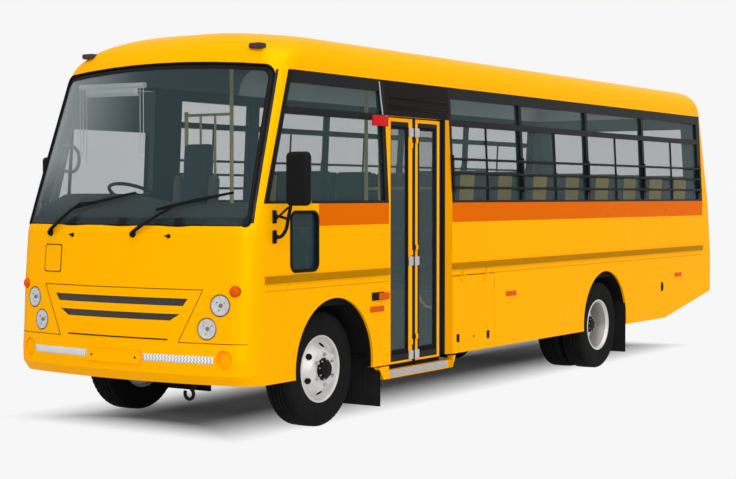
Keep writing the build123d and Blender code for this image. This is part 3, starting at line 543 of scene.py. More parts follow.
def surround_paint():
    """Yellow posts and step, painted shade on the rear jamb's face, and the black louvred panel above the
    doorway.
    """
    paint = Paint("door_surround_paint", YELLOW, 0.3)
    x, _, z = paint.axes()
    inside = paint.below(paint.axes("Normal")[1], INWARDS)
    rubber_edge = paint.times(paint.along(x, POST_RUBBER_X), paint.above(z, POST_RUBBER_FOOT))
    # Painted shade on the rear jamb's face
    colour = paint.mix(paint.along(x, SHADED_JAMB_X), paint.yellow(), SHADED_JAMB_YELLOW)
    colour = paint.mix(rubber_edge, colour, EDGE_BLACK)
    colour = paint.mix(paint.above(z, HEADER_FOOT), colour, PANEL_BLACK)
    return gloss(paint.shade(paint.mix(inside, colour, LINING)))


def leaf_paint(name, pane, edges):
    """Yellow door leaf: a black glazing border, and black rubber along the given edges and the foot."""
    paint = Paint(name, YELLOW, 0.3)
    x, _, z = paint.axes()
    border = paint.along(x, (pane[1] - GLAZING_BORDER, pane[0] + GLAZING_BORDER))
    black = paint.times(border, paint.span(z, *GLAZING_Z))
    for edge in edges:
        black = paint.most(black, paint.along(x, edge))
    black = paint.most(black, paint.below(z, LEAF_FOOT))
    return gloss(paint.shade(paint.mix(black, paint.yellow(), LEAF_BLACK)))


def rail_paint():
    """Ochre rub rail with fine ribs along it, and darker stripes of painted shade on the ribs."""
    paint = Paint("ribbed_ochre", (0.50, 0.215, 0.0), 0.45).set("IOR", PAINT_IOR)
    rib = paint.wave(paint.axes()[2], RAIL_PITCH)
    # The darker ochre stripes on the ribs are painted shade
    paint.shade(paint.mix(paint.above(rib, 0.35), (0.50, 0.225, 0.0), (0.36, 0.150, 0.0)))
    return paint.bump(rib, 0.6, 0.002).material


def black_trim(name, tone, rough, grain=380.0):
    """Black plastic or painted metal with a fine grain."""
    paint = Paint(name, grey(tone), rough).set("IOR", 1.14)
    paint.shade(paint.tint(grey(tone * 0.8), grey(tone * 1.35), 9.0))
    paint.wear(rough - 0.06, rough + 0.08, 14.0)
    return paint.bump(paint.noise(grain, 2.0), 0.12, 0.0005).material


def clear_glass(name, tint, alpha):
    """Tinted pane glass."""
    paint = Paint(name, tint, 0.02).set("Alpha", alpha).set("IOR", GLASS_IOR)
    return paint.wear(0.02, 0.04, 2.0).material


def glass_with_painted_reflection(name, tint, reflection_tint, alpha):
    """Screen glass: clear, with a pale painted reflection that grows to the driver's side and fades to the
    dash.
    """
    paint = Paint(name, tint, 0.02).set("IOR", GLASS_IOR)
    _, y, z = paint.axes()
    across = paint.within_one(paint.ramp(y, -0.10, -0.95))
    share = paint.times(across, paint.within_one(paint.ramp(z, 1.55, 0.45)))
    # Painted reflection: paler and less clear towards the driver's side, fading towards the dash
    paint.shade(paint.mix(share, tint, reflection_tint))
    paint.set("Alpha", paint.math("ADD", paint.times(share, 0.26), alpha))
    return paint.wear(0.02, 0.04, 2.0).material


def steel(name, tone=0.55, rough=0.34):
    """Bare metal with fine scratches."""
    paint = Paint(name, (tone, tone, tone * 0.99), rough, 1.0)
    paint.shade(paint.tint(grey(tone * 0.85), grey(tone * 1.1), 24.0))
    paint.wear(rough - 0.08, rough + 0.1, 40.0)
    return paint.bump(paint.noise(160.0, 4.0), 0.06, 0.0006).material


def wheel_silver():
    """Silver wheel paint, a little dusty, with fine flake."""
    paint = Paint("wheel_silver", (0.62, 0.61, 0.59), 0.4, 0.35)
    paint.shade(paint.tint((0.52, 0.51, 0.49), (0.68, 0.67, 0.65), 16.0))
    paint.wear(0.34, 0.5, 30.0)
    return paint.bump(paint.noise(300.0, 3.0), 0.07, 0.0006).material


def dish_silver():
    """Rear rim paint: silver lip and disc, and a darker barrel between them, painted shade inside the dish.
    """
    paint = Paint("dish_silver", (0.6, 0.59, 0.57), 0.4, 0.3)
    depth = paint.math("ABSOLUTE", paint.axes()[1])
    silver = paint.tint((0.56, 0.55, 0.53), (0.64, 0.63, 0.61), 9.0)
    # The darker tone on the barrel is painted shade inside the dish
    dusty = paint.tint((0.20, 0.185, 0.165), (0.27, 0.25, 0.225), 14.0)
    paint.shade(paint.mix(paint.span(depth, *BARREL_Y), silver, dusty))
    return paint.bump(paint.noise(240.0, 2.0), 0.1, 0.0006).material


def rubber(name, tone=0.009):
    """Dull rubber, a little dusty."""
    paint = Paint(name, (tone, tone, tone * 1.02), 0.72).set("IOR", 1.10)
    paint.shade(paint.tint(grey(tone * 0.7), grey(tone * 1.5), 11.0, 5.0))
    paint.wear(0.62, 0.82, 18.0)
    return paint.bump(paint.noise(220.0, 4.0), 0.2, 0.0008).material


def lens(name, colour, rough=0.12, ribs=0.0, alpha=1.0):
    """Coloured lens plastic, with moulded ribs of the given pitch."""
    paint = Paint(name, colour, rough).set("IOR", 1.1).set("Alpha", alpha)
    paint.set("Coat Weight", 0.04).set("Coat Roughness", 0.03)
    paint.shade(paint.tint(tuple(v * 0.75 for v in colour), colour, 60.0))
    if ribs:
        paint.bump(paint.wave(paint.axes()[2], ribs), 0.4, 0.001)
    return paint.material


def chrome():
    """Mirror silver."""
    paint = Paint("lamp_reflector", (0.86, 0.86, 0.85), 0.12, 1.0)
    paint.shade(paint.tint((0.78, 0.78, 0.77), (0.92, 0.92, 0.91), 30.0))
    return paint.wear(0.08, 0.18, 20.0).material


def lamp_bowl():
    """Bright faceted reflector behind a lamp's lens."""
    paint = Paint("lamp_bowl", grey(0.6), 0.22, 0.85)
    paint.shade(paint.tint((0.35, 0.35, 0.34), (0.80, 0.80, 0.78), 45.0))
    return paint.bump(paint.cells(70.0), 0.5, 0.002).material


def cloth(name, low, high, patch=None):
    """Woven seat cloth: crossed fine ribs, a soft sheen, and a patch on each back's window side."""
    paint = Paint(name, low, 0.85).set("Sheen Weight", 0.1).set("Sheen Roughness", 0.5)
    x, y, z = paint.axes()
    weave = paint.times(paint.wave(y, WEAVE_PITCH), paint.wave(paint.math("ADD", x, z), WEAVE_PITCH))
    weft = paint.tint(low, high, 35.0, 4.0)
    if patch:
        wide = paint.span(paint.math("ABSOLUTE", y), *PATCH_Y)
        weft = paint.mix(paint.times(wide, paint.span(z, *PATCH_Z)), weft, patch)
    return paint.shade(weft).bump(weave, 0.35, 0.0012).material


def blind_cloth():
    """White blind cloth."""
    paint = Paint("blind_cloth", (0.62, 0.63, 0.62), 0.8)
    return paint.shade(paint.tint((0.58, 0.59, 0.58), (0.68, 0.69, 0.68), 20.0)).material


def tread_plate():
    """Step treads: brushed metal with fine cross ribs."""
    paint = Paint("step_treads", (0.42, 0.42, 0.43), 0.4, 0.7)
    paint.shade(paint.tint((0.34, 0.34, 0.35), (0.5, 0.5, 0.51), 18.0, 3.0, (1, 8, 1)))
    return paint.bump(paint.wave(paint.axes()[1], TREAD_PITCH), 0.4, 0.001).material


def mesh_black():
    """Black grille mesh: small cells with raised edges."""
    paint = Paint("grille_mesh", grey(0.008), 0.5)
    wire = paint.below(paint.cells(70.0, (1, 1, 1.7)), 0.09)
    paint.shade(paint.mix(wire, grey(0.002), (0.035, 0.035, 0.034)))
    return paint.bump(wire, 0.8, 0.003).material


def reflective_strip():
    """Silver reflective tape with a row of chevrons."""
    paint = Paint("reflective_strip", grey(0.7), 0.3).set("Coat Weight", 0.5)
    _, y, z = paint.axes()
    zigzag = paint.math("ADD", paint.math("ABSOLUTE", y), paint.math("PINGPONG", z, CHEVRON_DEPTH))
    phase = paint.math("FRACT", paint.math("DIVIDE", zigzag, CHEVRON_PITCH))
    paint.shade(paint.mix(paint.above(phase, 0.55), grey(0.74), (0.36, 0.36, 0.37)))
    return paint.wear(0.2, 0.34, 60.0).material


def pole_paint():
    """Pale yellow paint of the grab poles."""
    paint = Paint("pole_paint", (0.80, 0.70, 0.20), 0.35).set("Coat Weight", 0.3)
    paint.shade(paint.tint((0.76, 0.66, 0.18), (0.84, 0.74, 0.24), 7.0))
    return paint.wear(0.28, 0.42, 12.0).material


def floor_mat():
    """Dark grey cabin floor with a fine grain."""
    paint = Paint("cabin_floor", (0.10, 0.105, 0.11), 0.7)
    paint.shade(paint.tint((0.08, 0.085, 0.09), (0.13, 0.135, 0.14), 30.0, 5.0))
    return paint.wear(0.6, 0.8, 12.0).bump(paint.cells(60.0), 0.2, 0.001).material


def roof_lining():
    """Pale ceiling cloth over the seats and a dark header panel above the cab."""
    paint = Paint("roof_lining", (0.4, 0.42, 0.42), 0.8)
    cab = paint.above(paint.axes()[0], FRONT_AXLE + CAB_REAR)
    pale = paint.tint((0.78, 0.81, 0.81), (0.84, 0.87, 0.87), 4.0)
    paint.shade(paint.mix(cab, pale, (0.10, 0.115, 0.12)))
    return paint.bump(paint.noise(180.0, 2.0), 0.1, 0.0008).material


SEAT_TONES = ((0.018, 0.026, 0.036), (0.03, 0.042, 0.055))
BODY_YELLOW = panel_paint("body_yellow")
NOSE_YELLOW = nose_paint("nose_yellow", 1)
TAIL_YELLOW = nose_paint("tail_yellow", -1)
LEFT_YELLOW = side_paint("left_side_yellow", 0.214, 1)
RIGHT_YELLOW = side_paint("right_side_yellow", -0.448, -1)
DRIVER_YELLOW = side_paint("driver_door_yellow", -9.0, -1, True)
SURROUND = surround_paint()
FRONT_LEAF = leaf_paint("front_leaf_yellow", (-0.835, -1.090), [(-1.185, -1.150)])
REAR_LEAF = leaf_paint("rear_leaf_yellow", (-1.236, -1.530), [(-1.196, -1.160), (-1.620, -1.572)])
OCHRE = rail_paint()
FRAME_BLACK = black_trim("window_frame_black", 0.009, 0.34)
TRIM_BLACK = black_trim("trim_black", 0.006, 0.42)
CHASSIS_BLACK = black_trim("chassis_black", 0.02, 0.5, 90.0)
LINER_BLACK = black_trim("liner_black", 0.006, 0.75, 60.0)
DASH_GREY = black_trim("dash_grey", 0.022, 0.6, 500.0)
# Screen glass with a pale painted reflection
SCREEN_GLASS = glass_with_painted_reflection("screen_glass", (0.045, 0.095, 0.105), (0.40, 0.45, 0.46), 0.17)
SIDE_GLASS = clear_glass("side_glass", (0.02, 0.075, 0.08), 0.22)
DOOR_GLASS = clear_glass("door_glass", (0.015, 0.05, 0.055), 0.40)
WHEEL_SILVER = wheel_silver()
DISH_SILVER = dish_silver()
STEEL = steel("plain_steel")
CAST_IRON = steel("cast_iron", 0.2, 0.55)
TYRE_RUBBER = rubber("tyre_rubber")
FLAP_RUBBER = rubber("flap_rubber", 0.012)
SEAL_RUBBER = rubber("seal_rubber", 0.008)
STRIP_BROWN = rubber("strip_brown", 0.03)
HANDLE_GREY = rubber("handle_grey", 0.20)
AMBER = lens("amber_lens", (0.74, 0.095, 0.0), ribs=0.006)
RED = lens("red_lens", (0.42, 0.006, 0.006), ribs=0.008)
SIGN_RED = lens("sign_red", (0.62, 0.012, 0.016), 0.3)
MARKER_LENS = lens("marker_lens", (0.06, 0.05, 0.05))
TAIL_WHITE = lens("tail_white_lens", grey(0.7))
CLEAR_LENS = lens("clear_lens", (0.80, 0.82, 0.82), 0.05, alpha=0.22)
CHROME = chrome()
LAMP_BOWL = lamp_bowl()
SEAT_CLOTH = cloth("seat_cloth", *SEAT_TONES)
BACK_CLOTH = cloth("bench_back_cloth", *SEAT_TONES, (0.62, 0.47, 0.09))
BOLSTER_CLOTH = cloth("bolster_cloth", (0.10, 0.10, 0.095), (0.15, 0.15, 0.14))
BLIND_CLOTH = blind_cloth()
TREADS = tread_plate()
GRILLE_MESH = mesh_black()
TAPE = reflective_strip()
POLE = pole_paint()
FLOOR_MAT = floor_mat()
ROOF_LINING = roof_lining()

# The look of each CAD node
NODE_LOOKS = (
    (CHASSIS_BLACK, "chassis_frame front_axle rear_axle propeller_shaft leaf_springs fuel_tank"),
    (CHASSIS_BLACK, "front_left_knuckle front_right_knuckle"),
    (CAST_IRON, "engine exhaust"),
    (TRIM_BLACK, "radiator rear_bumper filler_caps guard_bars"),
    (TRIM_BLACK, "left_mirror right_mirror steering_wheel seat_frames"),
    (FLOOR_MAT, "floor"),
    (TREADS, "step_well"),
    (SURROUND, "door_surround"),
    (NOSE_YELLOW, "front_mask grille_panel front_bumper"),
    (BODY_YELLOW, "plate_holder roof"),
    (TAIL_YELLOW, "rear_wall"),
    (LEFT_YELLOW, "left_side side_flap"),
    (RIGHT_YELLOW, "right_side"),
    (DRIVER_YELLOW, "driver_door"),
    (FRONT_LEAF, "door_front_leaf"),
    (REAR_LEAF, "door_rear_leaf"),
    (FRAME_BLACK, "left_window_frames right_window_frames"),
    (SCREEN_GLASS, "windscreen"),
    (SIDE_GLASS, "window_glass driver_door_glass"),
    (DOOR_GLASS, "door_front_glass door_rear_glass"),
    (OCHRE, "rub_rails"),
    (CLEAR_LENS, "headlamps"),
    (AMBER, "amber_lamps"),
    (RED, "tail_lamps"),
    (FLAP_RUBBER, "mudflaps"),
    (LINER_BLACK, "arch_liners"),
    (DASH_GREY, "dashboard engine_cover"),
    (SEAT_CLOTH, "seat_cushions seat_backs"),
    (POLE, "grab_poles"),
    (WHEEL_SILVER, "front_left_rim front_right_rim rear_left_rims rear_right_rims"),
    (TYRE_RUBBER, "front_left_tyre front_right_tyre rear_left_tyres rear_right_tyres"),
)


def paint_nodes():
    """Gives each CAD node its look."""
    for look, nodes in NODE_LOOKS:
        for node in nodes.split():
            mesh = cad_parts[node].data
            mesh.materials.clear()
            mesh.materials.append(look)


# Wheels

TYRE_PROFILE = np.array([
    (0.236, -0.090), (0.246, -0.100), (0.262, -0.103), (0.300, -0.113), (0.340, -0.1155), (0.375, -0.113),
    (0.396, -0.108), (0.408, -0.1035), (0.4175, -0.096), (0.4235, -0.084),
])
TYRE_BORE = [(0.236, 0.090), (0.236, -0.090)]
# Grooves of the tread: middle, half width and depth
GROOVES = ((-0.052, 0.0055, 0.011), (-0.018, 0.006, 0.012), (0.018, 0.006, 0.012), (0.052, 0.0055, 0.011))
TYRE_TURNS = 240
NOTCH_DEPTH = 0.0045
RIB_HEIGHT = 0.0007

# Rims and hubs: radius, and offset outwards from the outer tyre's middle
RIM_LIP = [(0.2345, 0.06), (0.238, 0.088), (0.2495, 0.0995), (0.247, 0.1035), (0.240, 0.105), (0.2335, 0.101)]
FRONT_RIM = [
    (0.031, -0.074), (0.228, -0.074), (0.2355, -0.098), (0.247, -0.103), (0.2495, -0.0995), (0.238, -0.088),
    (0.2345, -0.06), *RIM_LIP, (0.229, 0.092), (0.2245, 0.075), (0.219, 0.066), (0.2135, 0.064),
    (0.205, 0.068), (0.190, 0.080), (0.168, 0.104), (0.150, 0.122), (0.142, 0.128), (0.130, 0.131),
    (0.105, 0.132), (0.088, 0.132), (0.084, 0.130), (0.031, 0.130),
]
REAR_RIM = [
    (0.041, -0.354), (0.228, -0.354), (0.2355, -0.356), (0.247, -0.361), (0.2495, -0.3575), (0.238, -0.346),
    (0.2345, -0.318), *RIM_LIP, (0.228, 0.088), (0.220, 0.070), (0.214, 0.060), (0.206, 0.046),
    (0.196, 0.018), (0.186, -0.028), (0.178, -0.052), (0.165, -0.063), (0.120, -0.066), (0.041, -0.066),
]
FRONT_HUB = [(0.084, 0.128), (0.080, 0.140), (0.066, 0.143), (0.062, 0.160), (0.056, 0.166), (0.030, 0.168),
             (0.027, 0.174), (0, 0.175)]
REAR_HUB = [(0.096, -0.066), (0.094, -0.02), (0.082, 0.0), (0.072, 0.028), (0.060, 0.036), (0, 0.038)]

# Nuts and caps: offset, count, ring, radius, height, phase
# Holes: offset, count, ring, half sizes, tilt, phase
FRONT_WHEEL = {
    "x": FRONT_AXLE, "ending": "", "tyres": [0.860],
    "rim": FRONT_RIM, "paint": WHEEL_SILVER, "hub": FRONT_HUB,
    "nuts": (0.131, 6, 0.112, 0.0145, 0.020, 0.5), "caps": (0.141, 8, 0.071, 0.007, 0.008, 0.2),
    "holes": (0.098, 6, 0.1745, (0.026, 0.027), 0.80, 0.61), "lips": True,
}
REAR_WHEELS = {
    "x": REAR_AXLE, "ending": "s", "tyres": [0.919, 0.661],
    "rim": REAR_RIM, "paint": DISH_SILVER, "hub": REAR_HUB,
    "nuts": (-0.066, 8, 0.128, 0.0145, 0.022, 0.3), "caps": (0.030, 8, 0.062, 0.006, 0.007, 0.2),
    "holes": (-0.063, 6, 0.158, (0.016, 0.022), 0.0, 0.2), "lips": False,
}


def tread_profile():
    """Tyre section: sidewalls from the bead to the shoulder, and a crown with four round-bottomed grooves."""
    across = np.linspace(-0.082, 0.082, 83)
    crown = 0.4255 - 0.35 * across ** 2
    for middle, width, depth in GROOVES:
        crown -= depth * np.clip(1 - ((across - middle) / width) ** 4, 0, None)
    return np.concatenate([TYRE_PROFILE, spread(crown, across), TYRE_PROFILE[::-1] * [1, -1], TYRE_BORE])


def tyre_sheet(x, y):
    """The section turned round the hub, its shoulders notched and its sidewalls faintly ribbed."""
    profile = tread_profile()
    grid, _, _ = lathe(profile, (0, 0, 0), "y", TYRE_TURNS)
    radius, offset = profile[:, 0][:, None], profile[:, 1][:, None]
    shoulder = (np.abs(offset) > 0.060) & (np.abs(offset) < 0.097) & (radius > 0.41)
    notch = np.where(shoulder & (np.arange(TYRE_TURNS) % 4 == 0), NOTCH_DEPTH, 0.0)
    sidewall = (np.abs(offset) > 0.098) & (radius > 0.27) & (radius < 0.36)
    ribs = np.where(sidewall, RIB_HEIGHT * np.sin(2 * np.pi * radius / 0.03), 0.0)
    scale = (radius - notch) / radius
    grid = grid * spread(scale, 1.0, scale)
    grid[..., 1] += np.sign(offset) * ribs
    return grid + [x, y, HUB_HEIGHT], False, True


def turned(profile, side, centre, turns):
    """A wheel's profile turned round its hub, facing outwards."""
    return lathe([(radius, side * offset) for radius, offset in profile], centre, "y", turns)


def bolt_ring(centre, side, offset, count, ring, radius, height, phase):
    """Hexagonal nuts on a circle, each with a round stud end."""
    stud, shoulder = radius * 0.5, radius * 0.92
    profile = [(0, height * 1.45), (stud, height * 1.45), (stud, height), (shoulder, height),
               (radius, height * 0.85), (radius, 0)]
    sheets = []
    for angle in phase + full_turn(count):
        spot = centre + np.array([ring * math.cos(angle), side * offset, ring * math.sin(angle)])
        sheets.append(turned(profile, side, spot, 6))
    return sheets


def hand_holes(centre, side, offset, count, ring, size, tilt, phase):
    """Round hand holes seen as dark pressed cups, partly painted shade of the open holes and partly the dark
    drum behind, and their rolled lips.
    """
    turn = full_turn(24)[:, None]
    # The dark cups are partly painted shade of the open holes and partly the dark drum behind
    cup_levels = [(0.0, 0.002), (0.93, 0.002)]
    lip_levels = [(0.93, 0.0018), (0.97, 0.0045), (1.07, 0.0045), (1.14, 0.0), (1.14, -0.002)]
    cups, lips = [], []
    for angle in phase + full_turn(count):
        out = np.array([math.cos(angle), 0, math.sin(angle)])
        tangent = np.array([-math.sin(angle), 0, math.cos(angle)])
        slope = out * math.cos(tilt) + np.array([0, -side, 0]) * math.sin(tilt)
        normal = np.cross(tangent, slope)
        normal *= side * np.sign(normal[1])
        spot = centre + [0, side * offset, 0] + ring * out
        circle = slope * np.cos(turn) * size[0] + tangent * np.sin(turn) * size[1]
        for sheets, levels in ((cups, cup_levels), (lips, lip_levels)):
            sheets.append((np.stack([spot + circle * r + normal * h for r, h in levels]), False, True))
    return cups, lips


def wheel(kind, side, name):
    """A steel disc wheel, or a twin pair with a dished outer disc: tyres, rim, hand holes, hub and nuts."""
    ending = kind["ending"]
    body = f"{name}_wheel{ending}"
    centre = np.array([kind["x"], side * kind["tyres"][0], HUB_HEIGHT])
    tyres = [tyre_sheet(kind["x"], side * y) for y in kind["tyres"]]
    rim = turned(kind["rim"], side, centre, 96)
    cups, lips = hand_holes(centre, side, *kind["holes"])
    nuts = bolt_ring(centre, side, *kind["nuts"]) + bolt_ring(centre, side, *kind["caps"])
    for part, sheets, look, angle in (("tyre", tyres, TYRE_RUBBER, 32), ("rim", [rim], kind["paint"], 28)):
        node = f"{name}_{part}{ending}"
        piece(f"{name}_{part}_skin{ending}", sheets, look, body=body, stands_for=node, angle=angle)
    piece(f"{name}_hand_holes", cups, LINER_BLACK, body=body)
    if kind["lips"]:
        piece(f"{name}_hole_lips", lips, WHEEL_SILVER, body=body)
    piece(f"{name}_hub", [turned(kind["hub"], side, centre, 40)], TRIM_BLACK, body=body)
    piece(f"{name}_nuts", nuts, STEEL, body=body, angle=30)


# Screen and roof

SCREEN_FOOT = (1.042, 1.490)
SCREEN_FOOT_R = 0.024
SCREEN_HEAD = (0.983, 2.612)
SCREEN_HEAD_R = 0.080
SCREEN_CROWN = 2.660
CLEAR_FOOT = (1.016, 1.550)
CLEAR_FOOT_R = 0.020
CLEAR_HEAD = (0.950, 2.574)
CLEAR_HEAD_R = 0.060
CLEAR_CROWN = 2.622

# The roof's curves: half width, front x and back x from the front axle, each with its height
ROOF_SIDE = np.array([
    (1.050, 2.590), (1.047, 2.620), (1.044, 2.650), (1.036, 2.690), (1.020, 2.730), (0.995, 2.775),
    (0.960, 2.810), (0.915, 2.838), (0.860, 2.857), (0.800, 2.8685), (0.700, 2.8805), (0.550, 2.8955),
    (0.350, 2.909), (0.150, 2.9175), (0.020, 2.9195),
])
BROW = np.array([
    (0.705, 2.590), (0.689, 2.630), (0.670, 2.672), (0.645, 2.715), (0.612, 2.760), (0.568, 2.803),
    (0.512, 2.842), (0.440, 2.874), (0.350, 2.897), (0.230, 2.911), (0.100, 2.918), (0.0, 2.9195),
])
STERN = np.array([
    (-7.355, 2.590), (-7.348, 2.640), (-7.338, 2.690), (-7.323, 2.745), (-7.301, 2.795), (-7.265, 2.840),
    (-7.205, 2.876), (-7.110, 2.902), (-7.000, 2.915), (-6.860, 2.9195),
])
CORNER_Z = np.array([2.59, 2.69, 2.77, 2.835, 2.88, 2.92])
CORNER_R = np.array([0.18, 0.24, 0.36, 0.48, 0.58, 0.70])
ROOF_HEIGHTS = np.array([
    2.590, 2.615, 2.640, 2.668, 2.696, 2.724, 2.750, 2.775, 2.798, 2.820,
    2.838, 2.854, 2.867, 2.878, 2.888, 2.897, 2.905, 2.911, 2.9155, 2.9185,
])
ROOF_WALL = 0.045


def plan_loop(front, half, back, z, inset):
    """The plan at one height: the bow, two front corners, the sides and two tail corners, at even angles."""
    bow_r = BOW_RADIUS - inset
    corner = min(np.interp(z, CORNER_Z, CORNER_R) - inset, half * 0.6)
    tail = min(TAIL_RADIUS - inset, half * 0.45)
    nose, side, stern = front - inset, half - inset, back + inset
    reach = math.sqrt((bow_r - corner) ** 2 - max(side - corner, 0) ** 2)
    corner_x = nose - bow_r + reach
    low = math.atan2(side - corner, reach)
    bow_turn = np.linspace(0, low, 25)
    turn = np.linspace(low, math.pi / 2, 25)[1:]
    tail_turn = np.linspace(math.pi / 2, math.pi, 9)
    half_loop = np.concatenate([
        spread(nose - bow_r + bow_r * np.cos(bow_turn), bow_r * np.sin(bow_turn)),
        spread(corner_x + corner * np.cos(turn), side - corner + corner * np.sin(turn)),
        spread(np.linspace(corner_x, stern + tail, 18)[1:-1], side),
        spread(stern + tail + tail * np.cos(tail_turn), side - tail + tail * np.sin(tail_turn)),
        spread(stern, np.linspace(side - tail, 0, 6)[1:]),
    ])
    loop = np.concatenate([half_loop, half_loop[-2:0:-1] * [1, -1]])
    return from_axle(spread(loop[:, 0], loop[:, 1], z))


def roof_stack(heights, inset):
    """Stacked plan loops: the brow, side and stern curves give each loop's front, half width and back."""
    curves = [np.interp(heights, curve[:, 1], curve[:, 0]) for curve in (BROW, ROOF_SIDE, STERN)]
    return np.stack([plan_loop(*row, inset) for row in zip(*curves, heights)])


def screen_head(y):
    """Height of the screen's upper edge: an arch with round ends, and the roof's edge beyond it."""
    y = np.abs(y)
    arch = SCREEN_CROWN - (SCREEN_CROWN - SCREEN_HEAD[1]) * (y / SCREEN_HEAD[0]) ** 2
    over = np.clip((y - SCREEN_HEAD[0] + SCREEN_HEAD_R) / SCREEN_HEAD_R, 0, 1)
    drop = SCREEN_HEAD_R * (1 - np.sqrt(1 - over ** 2))
    return np.where(y < SCREEN_HEAD[0], np.maximum(arch - drop, ROOF_EDGE), ROOF_EDGE)


def roof_levels(inset):
    """Roof grid whose columns are squeezed to start at the screen's head or at the roof's edge."""
    fine = np.linspace(ROOF_HEIGHTS[0], ROOF_HEIGHTS[-1], 260)
    stack = roof_stack(fine, inset)
    low = stack[12]
    ahead = low[:, 0] > FRONT_AXLE + 0.3
    edge = np.where(ahead, screen_head(low[:, 1]), ROOF_HEIGHTS[0])
    share = ((ROOF_HEIGHTS - ROOF_HEIGHTS[0]) / (ROOF_HEIGHTS[-1] - ROOF_HEIGHTS[0]))[:, None]
    height = edge + share * (ROOF_HEIGHTS[-1] - edge)
    place = (height - fine[0]) / (fine[1] - fine[0])
    below = np.clip(place.astype(int), 0, len(fine) - 2)
    column = np.arange(stack.shape[1])
    grid = between(stack[below, column], stack[below + 1, column], (place - below)[..., None])
    grid[..., 2] -= share ** 0.7 * inset
    return grid


def roof_skin():
    """The roof's outer skin and its lining, closed along the lower edge."""
    skin, lining = roof_levels(0.0), roof_levels(ROOF_WALL)
    crown = np.stack([skin[-1], skin[-1] * [1, 0, 1] + [0, 0, 0.0009]])
    under = np.stack([lining[-1], lining[-1] * [1, 0, 1]])
    edge = np.stack([skin[0], lining[0]])
    outer = [(sheet, False, True) for sheet in (skin, crown, edge)]
    inner = [(sheet, False, True) for sheet in (lining, under)]
    piece("roof_skin", outer, BODY_YELLOW, stands_for="roof", angle=60)
    piece("roof_lining", inner, ROOF_LINING, angle=60)


def screen_loop(foot, head, crown, foot_r, head_r):
    """Outline of the screen: a straight foot, leaning sides and an arched head, with round corners."""
    share = np.linspace(1, -1, 9)
    arch = spread(head[0] * share, crown - (crown - head[1]) * share ** 2)
    corners = np.concatenate([[(-foot[0], foot[1]), foot], arch])
    loop = round_outline(corners, [foot_r, foot_r, head_r] + [0.4] * 7 + [head_r])
    steps = np.linspace(0, 1, 4, endpoint=False)[None, :, None]
    return between(loop[:, None], np.roll(loop, -1, axis=0)[:, None], steps).reshape(-1, 2)


def screen_trim():
    """The black band on the screen's edge, a round rubber bead along it, and a flat strip on both pillars."""
    outer = screen_loop(SCREEN_FOOT, SCREEN_HEAD, SCREEN_CROWN, SCREEN_FOOT_R, SCREEN_HEAD_R)
    inner = screen_loop(CLEAR_FOOT, CLEAR_HEAD, CLEAR_CROWN, CLEAR_FOOT_R, CLEAR_HEAD_R)
    band = nose_points(between(outer, inner, np.linspace(0, 1, 4)[:, None, None]), -0.0095)
    thicken(piece("screen_band", [(band, False, True)], FRAME_BLACK, slot="trim_black"), 0.001)
    piece("screen_seal", [hoop(nose_points(outer, -0.001), 0.0075, (1, 0, 0.2))], SEAL_RUBBER)
    z = np.linspace(1.512, 2.585, 40)[:, None]
    share = (z - SCREEN_FOOT[1]) / (SCREEN_HEAD[1] - SCREEN_FOOT[1])
    edge = SCREEN_FOOT[0] + (SCREEN_HEAD[0] - SCREEN_FOOT[0]) * share
    across, lift = np.array([0.002, 0.008, 0.015, 0.021]), np.array([-0.002, 0.003, 0.003, -0.002])
    strips = [(nose_points(spread(side * (edge + across), z), lift), False, False) for side in SIDES]
    thicken(piece("pillar_strips", strips, STRIP_BROWN), 0.002)


# Nose details

GRILLE = [(-0.557, 0.692), (0.557, 0.692), (0.744, 1.055), (-0.744, 1.055)]
# Slots of the grille: half width and height of the foot, then of the head
GRILLE_SLOTS = ((0.588, 0.940, 0.625, 0.992), (0.483, 0.837, 0.564, 0.884))
# Lamps: y, z
LAMP_SPOTS = ((0.877, 0.951), (0.781, 0.790))
LAMP_RIM = [(0.066, -0.004), (0.068, 0.002), (0.0705, 0.004), (0.0725, 0.001), (0.073, -0.012)]
BULB = [(0, 0.003), (0.008, 0.002), (0.011, -0.002), (0.013, -0.007), (0.019, -0.010)]
SMALL_BULB = [(0, -0.004), (0.005, -0.005), (0.007, -0.010)]
AMBER_SPOT = (0.984, 1.049)
# Reflectors along the sides: x from the front axle, z
REFLECTORS = ((-0.551, 0.839), (-2.716, 0.845), (-6.580, 0.847))
PLATE_BOLT = [(0, 0.006), (0.006, 0.006), (0.0085, 0.003), (0.0085, -0.001), (0.012, 0.0012), (0.012, -0.002)]
# Wipers: pivot, elbow and the blade's two ends, each (y, z)
WIPERS = (
    ((-0.715, 1.428), (-0.430, 1.640), (-0.548, 1.597), (0.080, 1.718)),
    ((0.132, 1.430), (0.465, 1.628), (0.300, 1.600), (0.893, 1.718)),
)
WIPER_BOSS = [(0, 0.026), (0.012, 0.026), (0.018, 0.020), (0.024, 0.010), (0.026, -0.002)]
WASHERS = ((-0.468, 1.416), (0.444, 1.419))
WASHER_BOSS = [(0, 0.016), (0.009, 0.015), (0.014, 0.006), (0.016, -0.002)]


def grille_details():
    """Black mesh behind both slots, the seams round the panel and the slit along its foot."""
    across = np.linspace(-1, 1, 49)
    up = np.linspace(-0.12, 1.12, 7)[:, None]
    meshes = []
    for low_half, low, high_half, high in GRILLE_SLOTS:
        yz = spread(across * (low_half + (high_half - low_half) * up), low + (high - low) * up)
        meshes.append((nose_points(yz, -0.009), False, False))
    thicken(piece("grille_mesh", meshes, GRILLE_MESH), 0.006)
    seams = [nose_line(GRILLE[k], GRILLE[(k + 1) % 4], 0.0024) for k in range(1, 4)]
    seams.append(nose_line((-0.469, 0.706), (0.469, 0.706), 0.0052, -0.001))
    seams += [nose_line((side * 0.556, 0.690), (side * 1.06, 0.690), 0.0022) for side in SIDES]
    piece("nose_seams", seams, SEAL_RUBBER)


